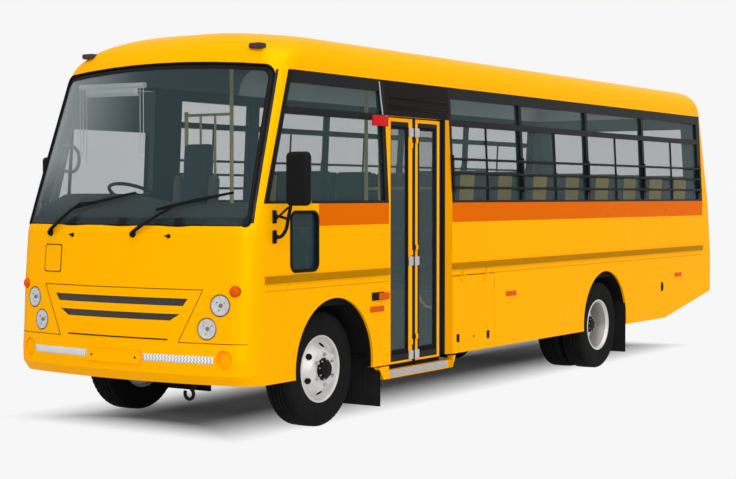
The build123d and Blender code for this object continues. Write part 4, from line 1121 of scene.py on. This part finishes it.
def lamps():
    """Round lamps: a bright bowl with bulbs behind a clear domed lens, in a grey rim."""
    bowls, lenses, rims, bulbs = [], [], [], []
    t = np.linspace(0, 1, 9)
    for y, z in [(side * y, z) for side in SIDES for y, z in LAMP_SPOTS]:
        spot = nose_spot(y, z)
        centre, axis, across, up = spot
        bowls.append(disc_sheet(spot, spread(0.068 * t, -0.009 + 0.008 * t ** 2)))
        lenses.append(disc_sheet(spot, spread(0.0695 * t, 0.003 + 0.012 * (1 - t ** 2))))
        rims.append(disc_sheet(spot, LAMP_RIM))
        bulbs.append(disc_sheet(spot, BULB, 16))
        for turn in (0.6, 2.5, 4.4):
            offset = 0.036 * (across * math.cos(turn) + up * math.sin(turn))
            bulbs.append(disc_sheet((centre + offset, axis, across, up), SMALL_BULB, 12))
    piece("lamp_bowls", bowls, LAMP_BOWL, stands_for="headlamps")
    piece("lamp_lenses", lenses, CLEAR_LENS)
    piece("lamp_rims", rims, HANDLE_GREY)
    piece("lamp_bulbs", bulbs, TRIM_BLACK)


def amber_lamps():
    """Amber domes on the nose, and small ribbed reflectors and side lamps along both sides."""
    t = np.linspace(0, np.pi / 2, 9)
    dome = spread(0.034 * np.sin(t), 0.004 + 0.020 * np.cos(t))
    dome = np.concatenate([dome, [(0.0375, 0.004), (0.0385, -0.004)]])
    ambers = [disc_sheet(nose_spot(side * AMBER_SPOT[0], AMBER_SPOT[1]), dome) for side in SIDES]
    for x, z in REFLECTORS:
        for side in SIDES:
            inner, outer = side * HALF_WIDTH, side * (HALF_WIDTH + 0.007)
            ambers.append(block((x - 0.095, inner, z - 0.021), (x + 0.095, outer, z + 0.021), 0.003))
    bases = [block((-0.640, s * 1.099, 0.905), (-0.480, s * 1.112, 0.967), 0.012) for s in SIDES]
    lenses = [block((-0.703, s * 1.105, 0.908), (-0.560, s * 1.124, 0.960), 0.012) for s in SIDES]
    piece("amber_lenses", ambers, AMBER, stands_for="amber_lamps")
    piece("side_lamp_bases", bases, TRIM_BLACK)
    piece("side_lamps", lenses, AMBER)


def bumper_details():
    """Reflective strips along the bumper, the plate holder's bolts and a blank sign plate on the nose."""
    y, z = np.linspace(0.262, 0.838, 41), np.linspace(0.551, 0.603, 5)[:, None]
    strips = [(nose_points(spread(side * y, z), 0.0012), False, False) for side in SIDES]
    thicken(piece("bumper_strips", strips, TAPE), 0.001)
    bolts = [lathe(PLATE_BOLT, from_axle((1.177, side * 0.205, 0.570)), "x", 12) for side in SIDES]
    piece("plate_bolts", bolts, TRIM_BLACK)
    outer = round_oblong((-0.767, 1.143), (-0.577, 1.346), 0.018)
    middle = outer.mean(axis=0)
    border = [(1.0, -0.001), (1.0, 0.002), (0.93, 0.002)]
    plate = [(0.935, -0.001), (0.935, 0.0016), (0.5, 0.0016), (0.0, 0.0016)]
    for name, levels, look in (("sign_border", border, TRIM_BLACK), ("sign_plate", plate, BODY_YELLOW)):
        sheet = np.stack([nose_points(middle + (outer - middle) * size, lift) for size, lift in levels])
        piece(name, [(sheet, False, True)], look)


def wipers():
    """Each wiper's pivot boss, tapering arm in two runs and thin blade, and two washer jets."""
    arms, blades, bosses = [], [], []
    t = np.linspace(0, 1, 24)
    share, rise = t[:, None], np.sin(np.pi * t)
    for pivot, elbow, low, high in WIPERS:
        clip = between(low, high, 0.45)
        bosses.append(disc_sheet(nose_spot(*pivot), WIPER_BOSS, 20))
        line = nose_points(between(pivot, elbow, share), 0.022 + 0.012 * rise)
        arms.append(tube(line, np.linspace(0.015, 0.009, 24), 8, FORWARD))
        arms.append(tube(nose_points(between(elbow, clip, share), 0.020), 0.0075, 8, FORWARD))
        line = nose_points(between(low, high, share), 0.010 + 0.004 * rise)
        blades.append(tube(line, 0.0125 - 0.008 * np.abs(t - 0.5), 8, FORWARD))
    for y, z in WASHERS:
        bosses.append(disc_sheet(nose_spot(y, z), WASHER_BOSS, 16))
        jet = np.linspace((y, z), (y - 0.030, z + 0.002), 6)
        bosses.append(tube(nose_points(jet, 0.009), 0.004, 8, FORWARD))
    piece("wiper_arms", arms, TRIM_BLACK)
    piece("wiper_blades", blades, SEAL_RUBBER)
    piece("wiper_bosses", bosses, TRIM_BLACK)


def roof_markers():
    """Small dark marker lamps on the brow."""
    spots = [side * 0.802 for side in SIDES]
    markers = [block((0.505, y - 0.055, 2.742), (0.585, y + 0.055, 2.782), 0.014) for y in spots]
    piece("roof_markers", markers, MARKER_LENS)


def tow_hook():
    """A forged open hook under the bumper on its shank."""
    x, radius = 0.985, 0.038
    turn = np.linspace(-0.35 * np.pi, 1.15 * np.pi, 30)
    hook = from_axle(spread(x, 0.535 + radius * np.cos(turn), 0.318 - radius * np.sin(turn)))
    shank = smooth_path([(x, 0.560, 0.352), (x, 0.585, 0.385), (x, 0.590, 0.430)], 12)
    piece("tow_hook", [tube(hook, 0.0125, 10, FORWARD), tube(shank, 0.015, 10, FORWARD)], TRIM_BLACK)


# Sides

# Mud flaps and arches: x from the front axle, with the flap's foot or the arch's centre height
FLAPS = ((-0.600, 0.090), (-5.188, 0.120))
ARCHES = ((0.0, 0.455), (-4.707, 0.460))
ARCH_FOOT = 0.402
FILLER_CAP = [(0, 0.004), (0.030, 0.004), (0.040, 0.002), (0.046, 0.003), (0.049, 0.0), (0.049, -0.004)]
# Panes of both sides and the right side's own front ones: front and rear x
PANES = [(-1.732, -2.931), (-2.981, -4.297), (-4.347, -5.648), (-5.698, -7.190)]
RIGHT_PANES = [(-0.784, -1.721), (-1.861, -2.931)]
SMALL_BOLT = [(0, 0.007), (0.006, 0.006), (0.008, 0)]
HINGE_BOLT = [(0, 0.003), (0.005, 0.002), (0.006, 0)]
KEY_HOLE = [(0, 0.004), (0.007, 0.004), (0.010, 0.0)]


def left_mirror():
    """A tall mirror head on a bent tube arm, on two bolted plates."""
    head = block((0.702, 1.208, 1.630), (0.782, 1.398, 2.000), 0.036, 7)
    glass = block((0.699, 1.226, 1.650), (0.705, 1.380, 1.980), 0.02)
    bar = smooth_path([
        (0.752, 1.110, 1.416), (0.752, 1.160, 1.420), (0.748, 1.200, 1.470), (0.752, 1.225, 1.560),
        (0.754, 1.245, 1.640), (0.768, 1.262, 1.760), (0.772, 1.270, 1.830),
    ], 40)
    stay = smooth_path([(0.752, 1.110, 1.554), (0.752, 1.150, 1.556), (0.752, 1.218, 1.540)], 16)
    brace = smooth_path([(0.752, 1.140, 1.556), (0.750, 1.222, 1.620)], 8)
    runs = ((bar, 0.0125), (stay, 0.010), (brace, 0.008))
    arms = [tube(path, radius, 10, FORWARD) for path, radius in runs]
    plates = []
    for z in (1.416, 1.554):
        plates.append(block((0.730, 1.100, z - 0.046), (0.774, 1.112, z + 0.046), 0.006))
        plates.append(block((0.738, 1.108, z - 0.018), (0.766, 1.128, z + 0.018), 0.007))
        for rise in (-0.034, 0.034):
            plates.append(lathe(SMALL_BOLT, from_axle((0.752, 1.112, z + rise)), "y", 10))
    piece("left_mirror_head", [head], TRIM_BLACK, stands_for="left_mirror")
    piece("left_mirror_glass", [glass], CHROME)
    piece("left_mirror_arm", arms, TRIM_BLACK)
    piece("left_mirror_plates", plates, TRIM_BLACK)


def right_mirror():
    """A low, wide mirror head on a short arm, carried by the driver's door."""
    head = block((0.421, -1.398, 1.866), (0.480, -1.207, 2.004), 0.028, 7)
    glass = block((0.418, -1.384, 1.880), (0.424, -1.221, 1.990), 0.018)
    path = [(0.605, -1.088, 1.930), (0.600, -1.125, 1.930), (0.545, -1.190, 1.932), (0.470, -1.250, 1.934)]
    plate = block((0.588, -1.106, 1.900), (0.622, -1.084, 1.960), 0.005)
    piece("right_mirror_head", [head], TRIM_BLACK, body="driver_door", stands_for="right_mirror")
    piece("right_mirror_glass", [glass], CHROME, body="driver_door")
    piece("right_mirror_arm", [tube(smooth_path(path, 24), 0.011, 10), plate], TRIM_BLACK, body="driver_door")


def pane_bars():
    """Thin upright bars where the sliding lower panes meet."""
    z = np.linspace(1.664, 2.275, 5)
    bars = []
    for panes, side in ((PANES, 1), (PANES[1:], -1), (RIGHT_PANES, -1)):
        for front, rear in panes:
            line = from_axle(spread((front + rear) / 2, side * (side_half(z) - 0.014), z))
            bars.append(tube(line, 0.011, 4, FORWARD))
    piece("pane_bars", bars, FRAME_BLACK, smooth=False)


def kerb_seal():
    """Black rubber round the low kerb window."""
    loop = dense_loop(round_oblong((0.226, 1.167), (0.555, 1.585), 0.055), 0.02)
    line = from_axle(spread(loop[:, 0], HALF_WIDTH - 0.002, loop[:, 1]))
    piece("kerb_seal", [hoop(line, 0.0115, SIDEWAYS)], SEAL_RUBBER)


def arch_lips():
    """A black strip inside each arch's edge, and a plate that closes its top under the floor."""
    across = np.array([1.0800, 1.0795, 1.050, 1.050])
    radius = np.array([0.4995, 0.4965, 0.4965, 0.4995])
    lips = []
    for x, z in ARCHES:
        dip = math.asin((z - ARCH_FOOT) / 0.4985)
        turn = np.linspace(-dip, math.pi + dip, 61)[:, None]
        for side in SIDES:
            arc = spread(x + radius * np.cos(turn), side * across, z + radius * np.sin(turn))
            lips.append((from_axle(arc), False, True))
            lips.append(block((x - 0.27, side * 1.048, 0.895), (x + 0.27, side * 1.057, 0.958), 0.003, 3))
    piece("arch_lips", lips, LINER_BLACK)


def mud_flaps():
    """Rubber flaps behind the wheels, with rippled faces, and plates that close the rear arches."""
    flaps = []
    for x, low in FLAPS:
        for side in SIDES:
            y = side * np.linspace(0.562, 1.097, 60)[:, None]
            ripple = 0.0015 * np.sin(2 * np.pi * y / 0.035)
            for offset in (0.006, -0.006):
                sheet = spread(x + offset + ripple, y, np.linspace(low, 0.700, 12))
                flaps.append((from_axle(sheet), False, False))
    plates = [block((-5.211, s * 0.90, ARCH_FOOT), (-5.203, s * 1.052, 0.800), 0.002, 3) for s in SIDES]
    piece("mud_flap_skins", flaps, FLAP_RUBBER, stands_for="mudflaps")
    piece("arch_plates", plates, LINER_BLACK)


def filler_covers():
    """A black oval cap over each filler's recess."""
    for side, name in zip(SIDES, ("left", "right")):
        centre = from_axle((-6.136, side * 1.1005, 0.734))
        spot = (centre, np.array([0, side, 0]), np.array([0.72, 0, 0]), np.array([0, 0, 1.0]))
        piece(f"{name}_filler_cover", [disc_sheet(spot, FILLER_CAP, 32)], TRIM_BLACK)


def flap_latches():
    """Two black slam latches near the flap's foot and a small key hole between them."""
    latches = []
    for x, z in ((-1.784, 0.522), (-2.298, 0.516)):
        latches.append(block((x - 0.021, 1.096, z - 0.034), (x + 0.021, 1.106, z + 0.034), 0.006))
        latches.append(block((x - 0.012, 1.100, z - 0.022), (x + 0.012, 1.109, z + 0.010), 0.004))
    latches.append(lathe(KEY_HOLE, from_axle((-2.050, HALF_WIDTH, 0.520)), "y", 14))
    piece("flap_latches", latches, TRIM_BLACK, body="side_flap")


def red_sign():
    """A blank red sign at the doorway's front corner."""
    piece("red_sign", [block((-0.745, 1.066, 2.232), (-0.530, 1.082, 2.312), 0.004)], SIGN_RED)


# Door

PANE_LOW, PANE_HIGH = 0.455, 2.245
HINGE_FEET = (0.398, 1.142, 2.160)
# Leaves: name, body, pane's front and rear, folding edge and its way, hinges' x, foot's rear and front
LEAVES = (
    ("front_leaf", "passenger_door_front", -0.835, -1.090, -1.165, -1, -1.128, -1.165, -0.800),
    ("rear_leaf", "passenger_door_rear", -1.255, -1.515, -1.181, 1, -1.218, -1.585, -1.183),
)


def door_leaf(name, body, front, rear, edge, way, hinge_x, foot_rear, foot_front):
    """Rubber round a leaf's pane, along its folding edge and its foot, and its bolted hinge plates."""
    borders = (
        (rear, front, PANE_LOW, PANE_LOW + 0.038), (rear, front, PANE_HIGH - 0.026, PANE_HIGH),
        (rear, rear + 0.014, PANE_LOW, PANE_HIGH), (front - 0.014, front, PANE_LOW, PANE_HIGH),
    )
    seals = [block((back, 1.020, low), (fore, 1.040, high), 0.004, 3) for back, fore, low, high in borders]
    fold = block((edge, 1.012, 0.392), (edge + way * 0.0065, 1.042, 2.302), 0.002, 3)
    foot = block((foot_rear, 1.016, 0.356), (foot_front, 1.038, 0.3875), 0.003, 3)
    plates = []
    for z in HINGE_FEET:
        low, high = (hinge_x - 0.034, 1.0445, z + 0.004), (hinge_x + 0.034, 1.0525, z + 0.076)
        plates.append(block(low, high, 0.003, 3))
        for rise in (0.020, 0.060):
            plates.append(lathe(HINGE_BOLT, from_axle((hinge_x, 1.0525, z + rise)), "y", 10))
    piece(f"{name}_seals", seals, SEAL_RUBBER, body=body)
    piece(f"{name}_edge_rubber", [fold], SEAL_RUBBER, body=body)
    piece(f"{name}_foot_rubber", [foot], SEAL_RUBBER, body=body)
    piece(f"{name}_hinge_plates", plates, STEEL, body=body)


def doorway():
    """Both leaves, the rear leaf's grab rail, the header's louvres and strip, and the step's nosing."""
    for leaf in LEAVES:
        door_leaf(*leaf)
    rail = smooth_path([
        (-1.290, 1.006, 1.300), (-1.290, 0.972, 1.260), (-1.345, 0.968, 0.960), (-1.395, 0.972, 0.860),
        (-1.480, 0.972, 0.800), (-1.535, 1.006, 0.790),
    ], 40)
    piece("leaf_grab_rail", [tube(rail, 0.013, 10, SIDEWAYS)], POLE, body="passenger_door_rear")
    feet = (2.372, 2.392, 2.455)
    louvres = [block((-1.640, 1.0545, z), (-0.790, 1.0665, z + 0.007), 0.002, 3) for z in feet]
    piece("header_louvres", louvres, TRIM_BLACK)
    z = np.linspace(HEADER_FOOT, 2.572, 6)
    strip = from_axle(spread(-0.680 + 0.032 * (z - HEADER_FOOT) / 0.254, side_half(z) + 0.003, z))
    piece("header_strip", [tube(strip, 0.0065, 6, FORWARD)], STEEL)
    piece("step_nosing", [block((-1.600, 1.0985, 0.300), (-0.736, 1.1035, 0.351), 0.002, 3)], TREADS)


# Cabin

VOXEL = 0.032
PRESSURE = 4.0
GIVE = 0.008
LAST_FRAME = 20
SEAT_WIDTH = 0.412
# Benches: x of the cushion's front from the front axle, and the near and far y
BENCH_ROWS = [(x, 0.240, 1.035) for x in (-1.900 - 0.694 * np.arange(8))]
BENCH_ROWS += [(x, -1.035, -0.240) for x in (-1.360 - 0.675 * np.arange(9))]


def pad(low, high, radius, crown, steps=9):
    """A pad's pattern: a soft box whose broad faces swell towards the middle."""
    low, high = np.asarray(low, float), np.asarray(high, float)
    grid, wrap_rows, wrap_columns = soft_box(low, high, radius, steps)
    half = (high - low) / 2
    share = (grid - (low + high) / 2) / half
    swell = (1 - share ** 2).clip(0)
    thin = int(np.argmin(half))
    one, two = [k for k in range(3) if k != thin]
    grid[..., thin] += share[..., thin] * crown * swell[..., one] * swell[..., two]
    return grid, wrap_rows, wrap_columns


def stuffed(shape):
    """A pad's points and faces after stuffing: its voxel skin, blown up as cloth, moved by GIVE at most."""
    pattern = bpy.data.objects.new("pad_pattern", grid_mesh("pad_pattern", [shape]))
    scene = bpy.context.scene
    scene.collection.objects.link(pattern)
    voxels = pattern.modifiers.new("voxels", "REMESH")
    voxels.mode = "VOXEL"
    voxels.voxel_size = VOXEL
    skin = bpy.data.meshes.new_from_object(pattern.evaluated_get(bpy.context.evaluated_depsgraph_get()))
    pattern.modifiers.clear()
    pattern.data = skin
    start = np.empty(len(pattern.data.vertices) * 3)
    pattern.data.vertices.foreach_get("co", start)
    end = start.copy()
    blown = pattern.modifiers.new("stuffing", "CLOTH")
    blown.settings.use_pressure = True
    blown.settings.uniform_pressure_force = PRESSURE
    blown.settings.effector_weights.gravity = 0.0
    blown.point_cache.frame_start = 1
    blown.point_cache.frame_end = LAST_FRAME
    for step in range(1, LAST_FRAME + 1):
        scene.frame_set(step)
    done = pattern.evaluated_get(bpy.context.evaluated_depsgraph_get())
    done.data.vertices.foreach_get("co", end)
    scene.frame_set(1)
    faces = [tuple(face.vertices) for face in pattern.data.polygons]
    bpy.data.objects.remove(pattern)
    start = start.reshape(-1, 3)
    move = end.reshape(-1, 3) - start
    reach = np.linalg.norm(move, axis=1, keepdims=True)
    return start + move * np.minimum(1, GIVE / np.maximum(reach, 1e-9)), faces


def soft_piece(name, pads, material, stands_for=None):
    """One padded object from several pads, each (points, faces), rounded by one subdivision level."""
    points, faces, first = [], [], 0
    for spots, sides in pads:
        points.append(spots)
        faces += [tuple(first + k for k in side) for side in sides]
        first += len(spots)
    mesh = bpy.data.meshes.new(name)
    mesh.from_pydata(np.concatenate(points).tolist(), [], faces)
    thing = dress(name, mesh, material, stands_for=stands_for, angle=80.0)
    rounding = thing.modifiers.new("rounding", "SUBSURF")
    rounding.levels = 1
    rounding.render_levels = 1


def lean(pad_skin, pivot_z, slope):
    """Shears a stuffed pad backwards with height."""
    points, faces = pad_skin
    return points - np.outer(slope * (points[:, 2] - pivot_z), FORWARD), faces


def benches():
    """Bench cushions and backs: one cushion and one back are stuffed, then repeated twice in each row."""
    cushion = stuffed(pad((-0.405, 0, 1.322), (-0.004, SEAT_WIDTH, 1.412), 0.030, 0.010, 5))
    back = stuffed(pad((-0.488, 0, 1.335), (-0.412, SEAT_WIDTH, 1.935), 0.030, 0.012, 5))
    back = lean(back, 1.335, 0.11)
    spots = []
    for x, near, far in BENCH_ROWS:
        spots += [from_axle((x, y, 0)) for y in (near - 0.004, (near + far) / 2 - 0.0125)]
    for name, (points, faces), look, node in (
        ("bench_cushions", cushion, SEAT_CLOTH, "seat_cushions"),
        ("bench_backs", back, BACK_CLOTH, "seat_backs"),
    ):
        soft_piece(name, [(points + spot, faces) for spot in spots], look, node)


def driver_seat():
    """The driver's seat: cushion and tall back with paler side bolsters, each stuffed."""
    x = FRONT_AXLE - 0.400
    foot, slope, radius = 1.440, 0.10, 0.035
    cushion = stuffed(pad((x + 0.005, -0.745, 1.372), (x + 0.436, -0.465, 1.476), radius, 0.012))
    back = stuffed(pad((x - 0.090, -0.755, foot), (x - 0.004, -0.455, 2.135), radius, 0.012))
    pale = []
    for near, far in ((-0.828, -0.750), (-0.460, -0.382)):
        pale.append(stuffed(pad((x + 0.005, near, 1.372), (x + 0.430, far, 1.490), radius, 0.006)))
        wing = stuffed(pad((x - 0.090, near, foot), (x + 0.015, far, 1.880), radius, 0.006))
        pale.append(lean(wing, foot, slope))
    soft_piece("driver_seat_middle", [cushion, lean(back, foot, slope)], SEAT_CLOTH)
    soft_piece("driver_seat_bolsters", pale, BOLSTER_CLOTH)


COLUMN = [(0, 0.028), (0.030, 0.026), (0.044, 0.016), (0.048, 0.0), (0.040, -0.012), (0.024, -0.02),
          (0.024, -0.79)]


def steering_wheel():
    """A thick ring on a tilted column that stands on the floor, with two spokes and a round boss."""
    centre = from_axle((0.260, -0.605, 1.690))
    tilt = math.radians(25)
    axis = np.array([-math.sin(tilt), 0, math.cos(tilt)])
    fore = np.array([math.cos(tilt), 0, math.sin(tilt)])
    across = np.array([0.0, 1.0, 0.0])
    rim = centre + axis * 0.013
    turn, grip = full_turn(64)[:, None, None], full_turn(12)[None, :, None]
    reach = 0.214 + 0.014 * np.cos(grip)
    ring = rim + reach * np.cos(turn) * fore + reach * np.sin(turn) * across + 0.014 * np.sin(grip) * axis
    sheets = [(ring, True, True)]
    for side in SIDES:
        spoke = np.linspace(centre + axis * 0.008 + across * side * 0.02, rim + across * side * 0.208, 8)
        sheets.append(tube(spoke, np.linspace(0.020, 0.011, 8), 10, axis))
    sheets.append(disc_sheet((centre, axis, fore, across), COLUMN, 32))
    piece("steering_wheel_skin", sheets, TRIM_BLACK, stands_for="steering_wheel")


# The dashboard's section: x from the front axle, share of the way to the screen, z, share of the hood's lift
DASH_SECTION = np.array([
    (0.828, 0.0, 1.142, 0.0), (0.828, 0.6, 1.420, 0.0), (0.828, 1.0, 1.505, 0.0), (0.828, 1.0, 1.560, 0.1),
    (0.815, 0.7, 1.610, 0.4), (0.800, 0.4, 1.634, 0.8), (0.770, 0.1, 1.646, 1.0), (0.710, 0.0, 1.648, 1.0),
    (0.660, 0.0, 1.640, 1.0), (0.632, 0.0, 1.615, 0.7), (0.612, 0.0, 1.560, 0.2), (0.602, 0.0, 1.480, 0.0),
    (0.640, 0.0, 1.260, 0.0), (0.660, 0.0, 1.142, 0.0),
])
HOOD_LIFT = 0.068
SCREEN_GAP = 0.075


def dash_top():
    """The dashboard: its section carried across the cab, drawn on to the screen, hooded before the driver."""
    y = np.linspace(-1.030, 1.030, 81)[:, None]
    x, near, z, lift = DASH_SECTION.T
    hood = 1 / (1 + np.exp(-(y + 0.900) / 0.022)) / (1 + np.exp((y + 0.020) / 0.090))
    height = z + HOOD_LIFT * lift * hood
    screen = nose_x(y, height) - FRONT_AXLE - SCREEN_GAP
    grid = from_axle(spread(x + near * np.clip(screen - x, 0, None), y, height))
    ends = [np.stack([grid[k], np.broadcast_to(grid[k].mean(axis=0), grid[k].shape)]) for k in (0, -1)]
    sheets = [(sheet, False, True) for sheet in (grid, *ends)]
    piece("dash_top", sheets, DASH_GREY, stands_for="dashboard", angle=50)


def blind():
    """A white roller blind rolled up before the driver, with its foot bar and pull cords."""
    ends = from_axle([(0.600, -0.850, 2.525), (0.640, -0.170, 2.515)])
    forward, loop_foot, loop_half, cord_foot = 0.012, 2.035, 0.016, 1.955
    roll = between(ends[0], ends[1], np.linspace(0, 1, 12)[:, None])
    sheets = [tube(roll, 0.022, 14), tube(roll[1:-1] + [0.004, 0, -0.070], 0.008, 8)]
    turn = np.linspace(0, np.pi, 9)
    for share in (0.03, 0.97):
        x, y, z = between(ends[0], ends[1], share)
        bend = spread(x + forward, y + loop_half * np.cos(turn), loop_foot - loop_half * np.sin(turn))
        tops = [[x + forward, bend[k, 1], z] for k in (0, -1)]
        sheets.append(tube([tops[0], *bend, tops[1]], 0.0028, 6, FORWARD))
    x, y, z = between(ends[0], ends[1], 0.11)
    sheets.append(tube(np.linspace((x + forward, y, z), (x + forward, y, cord_foot), 8), 0.0025, 6, FORWARD))
    piece("blind_roll", sheets, BLIND_CLOTH)
    drop = np.linspace(0.010, -0.066, 5)[:, None, None] * np.array([0, 0, 1.0])
    hem = roll[None, 1:-1] + drop + [forward, 0, 0]
    thicken(piece("blind_drop", [(hem, False, False)], BLIND_CLOTH), 0.002)


def cab_handle():
    """A bent grab handle on the driver's front pillar and the upright post of the driver's quarter light."""
    bend = smooth_path([
        (0.640, -1.020, 2.085), (0.580, -1.005, 2.088), (0.530, -1.000, 2.080), (0.478, -1.000, 2.035),
        (0.470, -1.000, 1.955), (0.515, -1.000, 1.893), (0.580, -1.005, 1.885), (0.640, -1.020, 1.900),
    ], 40)
    piece("cab_handle", [tube(bend, 0.013, 10, SIDEWAYS)], HANDLE_GREY, slot="pole_paint")
    z = np.linspace(1.600, 2.300, 8)
    post = from_axle(spread(0.489 + 0.028 * (2.212 - z), 0.022 - side_half(z), z))
    piece("quarter_post", [tube(post, 0.013, 8, FORWARD)], FRAME_BLACK, body="driver_door")


# Tail

def tail_details():
    """Tail lamp clusters in three colours, a blank plate and the pane's seal."""
    x, inner = TAIL_X[0], TAIL_X[0] + 0.004
    for name, low, high, look, node in (
        ("tail_red", 0.985, 1.050, RED, "tail_lamps"), ("tail_amber", 0.910, 0.978, AMBER, None),
        ("tail_white", 0.835, 0.903, TAIL_WHITE, None),
    ):
        lenses = [block((x - 0.014, side * 0.845, low), (inner, side * 0.935, high), 0.006) for side in SIDES]
        piece(name, lenses, look, stands_for=node)
    bases = [block((x - 0.006, side * 0.836, 0.826), (inner, side * 0.944, 1.060), 0.005) for side in SIDES]
    bases.append(block((x - 0.010, -0.27, 0.900), (inner, 0.27, 1.030), 0.004))
    piece("tail_bases", bases, TRIM_BLACK)
    loop = dense_loop(round_oblong((-0.82, 1.72), (0.82, 2.47), 0.012), 0.05)
    line = from_axle(spread(np.interp(loop[:, 1], TAIL_Z, TAIL_X) - 0.001, loop[:, 0], loop[:, 1]))
    piece("tail_seal", [hoop(line, 0.016, FORWARD)], SEAL_RUBBER)


# Light, floor and camera

BACKDROP = (0.93, 0.93, 0.93, 1)
FLOOR_HALF = 90.0


def stage():
    """A wide pale floor: the bus's shadow near it, and the backdrop's tone from its edges outwards."""
    look = Paint("studio_floor", grey(0.88), 0.85).set("Specular IOR Level", 0.1)
    look.shade(look.tint((0.760, 0.762, 0.765), (0.770, 0.772, 0.775), 0.2))
    x, y, _ = look.axes()
    across = look.math("SUBTRACT", look.math("ABSOLUTE", look.math("ADD", y, 0.25)), 0.25)
    across = look.math("POWER", look.math("DIVIDE", look.most(across, 0.0), 0.95), 1.5)
    ahead = look.ramp(x, FRONT_AXLE + 0.38, 0.62)
    behind = look.ramp(x, FRONT_AXLE - 6.90, -0.60)
    clear = look.within_one(look.most(across, look.most(ahead, behind)))
    glow = look.node("Emission", {"Color": BACKDROP})
    look.show(look.times(clear, look.seen_ray()), look.shader, glow, "Material Output")
    steps = np.linspace(-FLOOR_HALF, FLOOR_HALF, 9)
    mesh = bpy.data.meshes.new("studio_floor")
    points = spread(steps[:, None], steps, 0.0).reshape(-1, 3)
    mesh.from_pydata(points.tolist(), [], grid_faces(9, 9).tolist())
    floor = bpy.data.objects.new("studio_floor", mesh)
    mesh.materials.append(look.material)
    bpy.context.scene.collection.objects.link(floor)


def sun(name, direction, strength):
    """A soft sun that shines from the given direction."""
    data = bpy.data.lights.new(name, "SUN")
    data.energy = strength
    data.angle = math.radians(60.0)
    lamp = bpy.data.objects.new(name, data)
    lamp.rotation_euler = Vector(direction).to_track_quat("Z", "Y").to_euler()
    bpy.context.scene.collection.objects.link(lamp)


def lights():
    """Even sky light, seen as a pale backdrop, with soft suns from above, the left and the front."""
    world = bpy.data.worlds.new("studio")
    bpy.context.scene.world = world
    world.use_nodes = True
    sky = Graph(world.node_tree)
    light = sky.nodes["Background"]
    light.inputs["Color"].default_value = (0.95, 0.97, 1.0, 1)
    light.inputs["Strength"].default_value = 0.46
    seen = sky.node("Background", {"Color": BACKDROP, "Strength": 1.0})
    sky.show(sky.seen_ray(), light, seen, "World Output")
    sun("overhead_sun", (0.05, 0.15, 1.0), 1.75)
    sun("key_sun", (0.58, 0.68, 0.45), 1.55)
    sun("nose_sun", (0.90, 0.10, 0.40), 0.15)


CAMERA_SPOT = np.array([12.44668, 7.43036, 1.69352])
CAMERA_YAW = 0.580399
CAMERA_DIP = 0.0279764
FOCAL_PIXELS = 1534.754
IMAGE_WIDTH = 736
SENSOR_WIDTH = 36.0


def camera():
    """The photograph's camera: its view line from the yaw and dip, level across."""
    level = math.cos(CAMERA_DIP)
    look = -np.array([math.cos(CAMERA_YAW) * level, math.sin(CAMERA_YAW) * level, math.sin(CAMERA_DIP)])
    right = np.cross(look, UPWARDS)
    right /= np.linalg.norm(right)
    data = bpy.data.cameras.new("photo_camera")
    data.sensor_fit = "HORIZONTAL"
    data.sensor_width = SENSOR_WIDTH
    data.lens = FOCAL_PIXELS * SENSOR_WIDTH / IMAGE_WIDTH
    data.clip_end = 300.0
    eye = bpy.data.objects.new("photo_camera", data)
    pose = np.eye(4)
    pose[:3, :3] = np.stack([right, np.cross(right, look), -look], axis=1)
    pose[:3, 3] = CAMERA_SPOT
    eye.matrix_world = Matrix(pose.tolist())
    bpy.context.scene.collection.objects.link(eye)
    bpy.context.scene.camera = eye


def build():
    """The whole scene, piece by piece."""
    paint_nodes()
    roof_skin()
    for kind, end in ((FRONT_WHEEL, "front"), (REAR_WHEELS, "rear")):
        for side, name in zip(SIDES, ("left", "right")):
            wheel(kind, side, f"{end}_{name}")
    screen_trim()
    grille_details()
    lamps()
    amber_lamps()
    bumper_details()
    wipers()
    roof_markers()
    tow_hook()
    left_mirror()
    right_mirror()
    pane_bars()
    kerb_seal()
    flap_latches()
    arch_lips()
    mud_flaps()
    filler_covers()
    red_sign()
    doorway()
    benches()
    driver_seat()
    steering_wheel()
    dash_top()
    blind()
    cab_handle()
    tail_details()
    stage()
    lights()
    camera()
    bpy.context.scene.view_settings.view_transform = "Standard"


build()
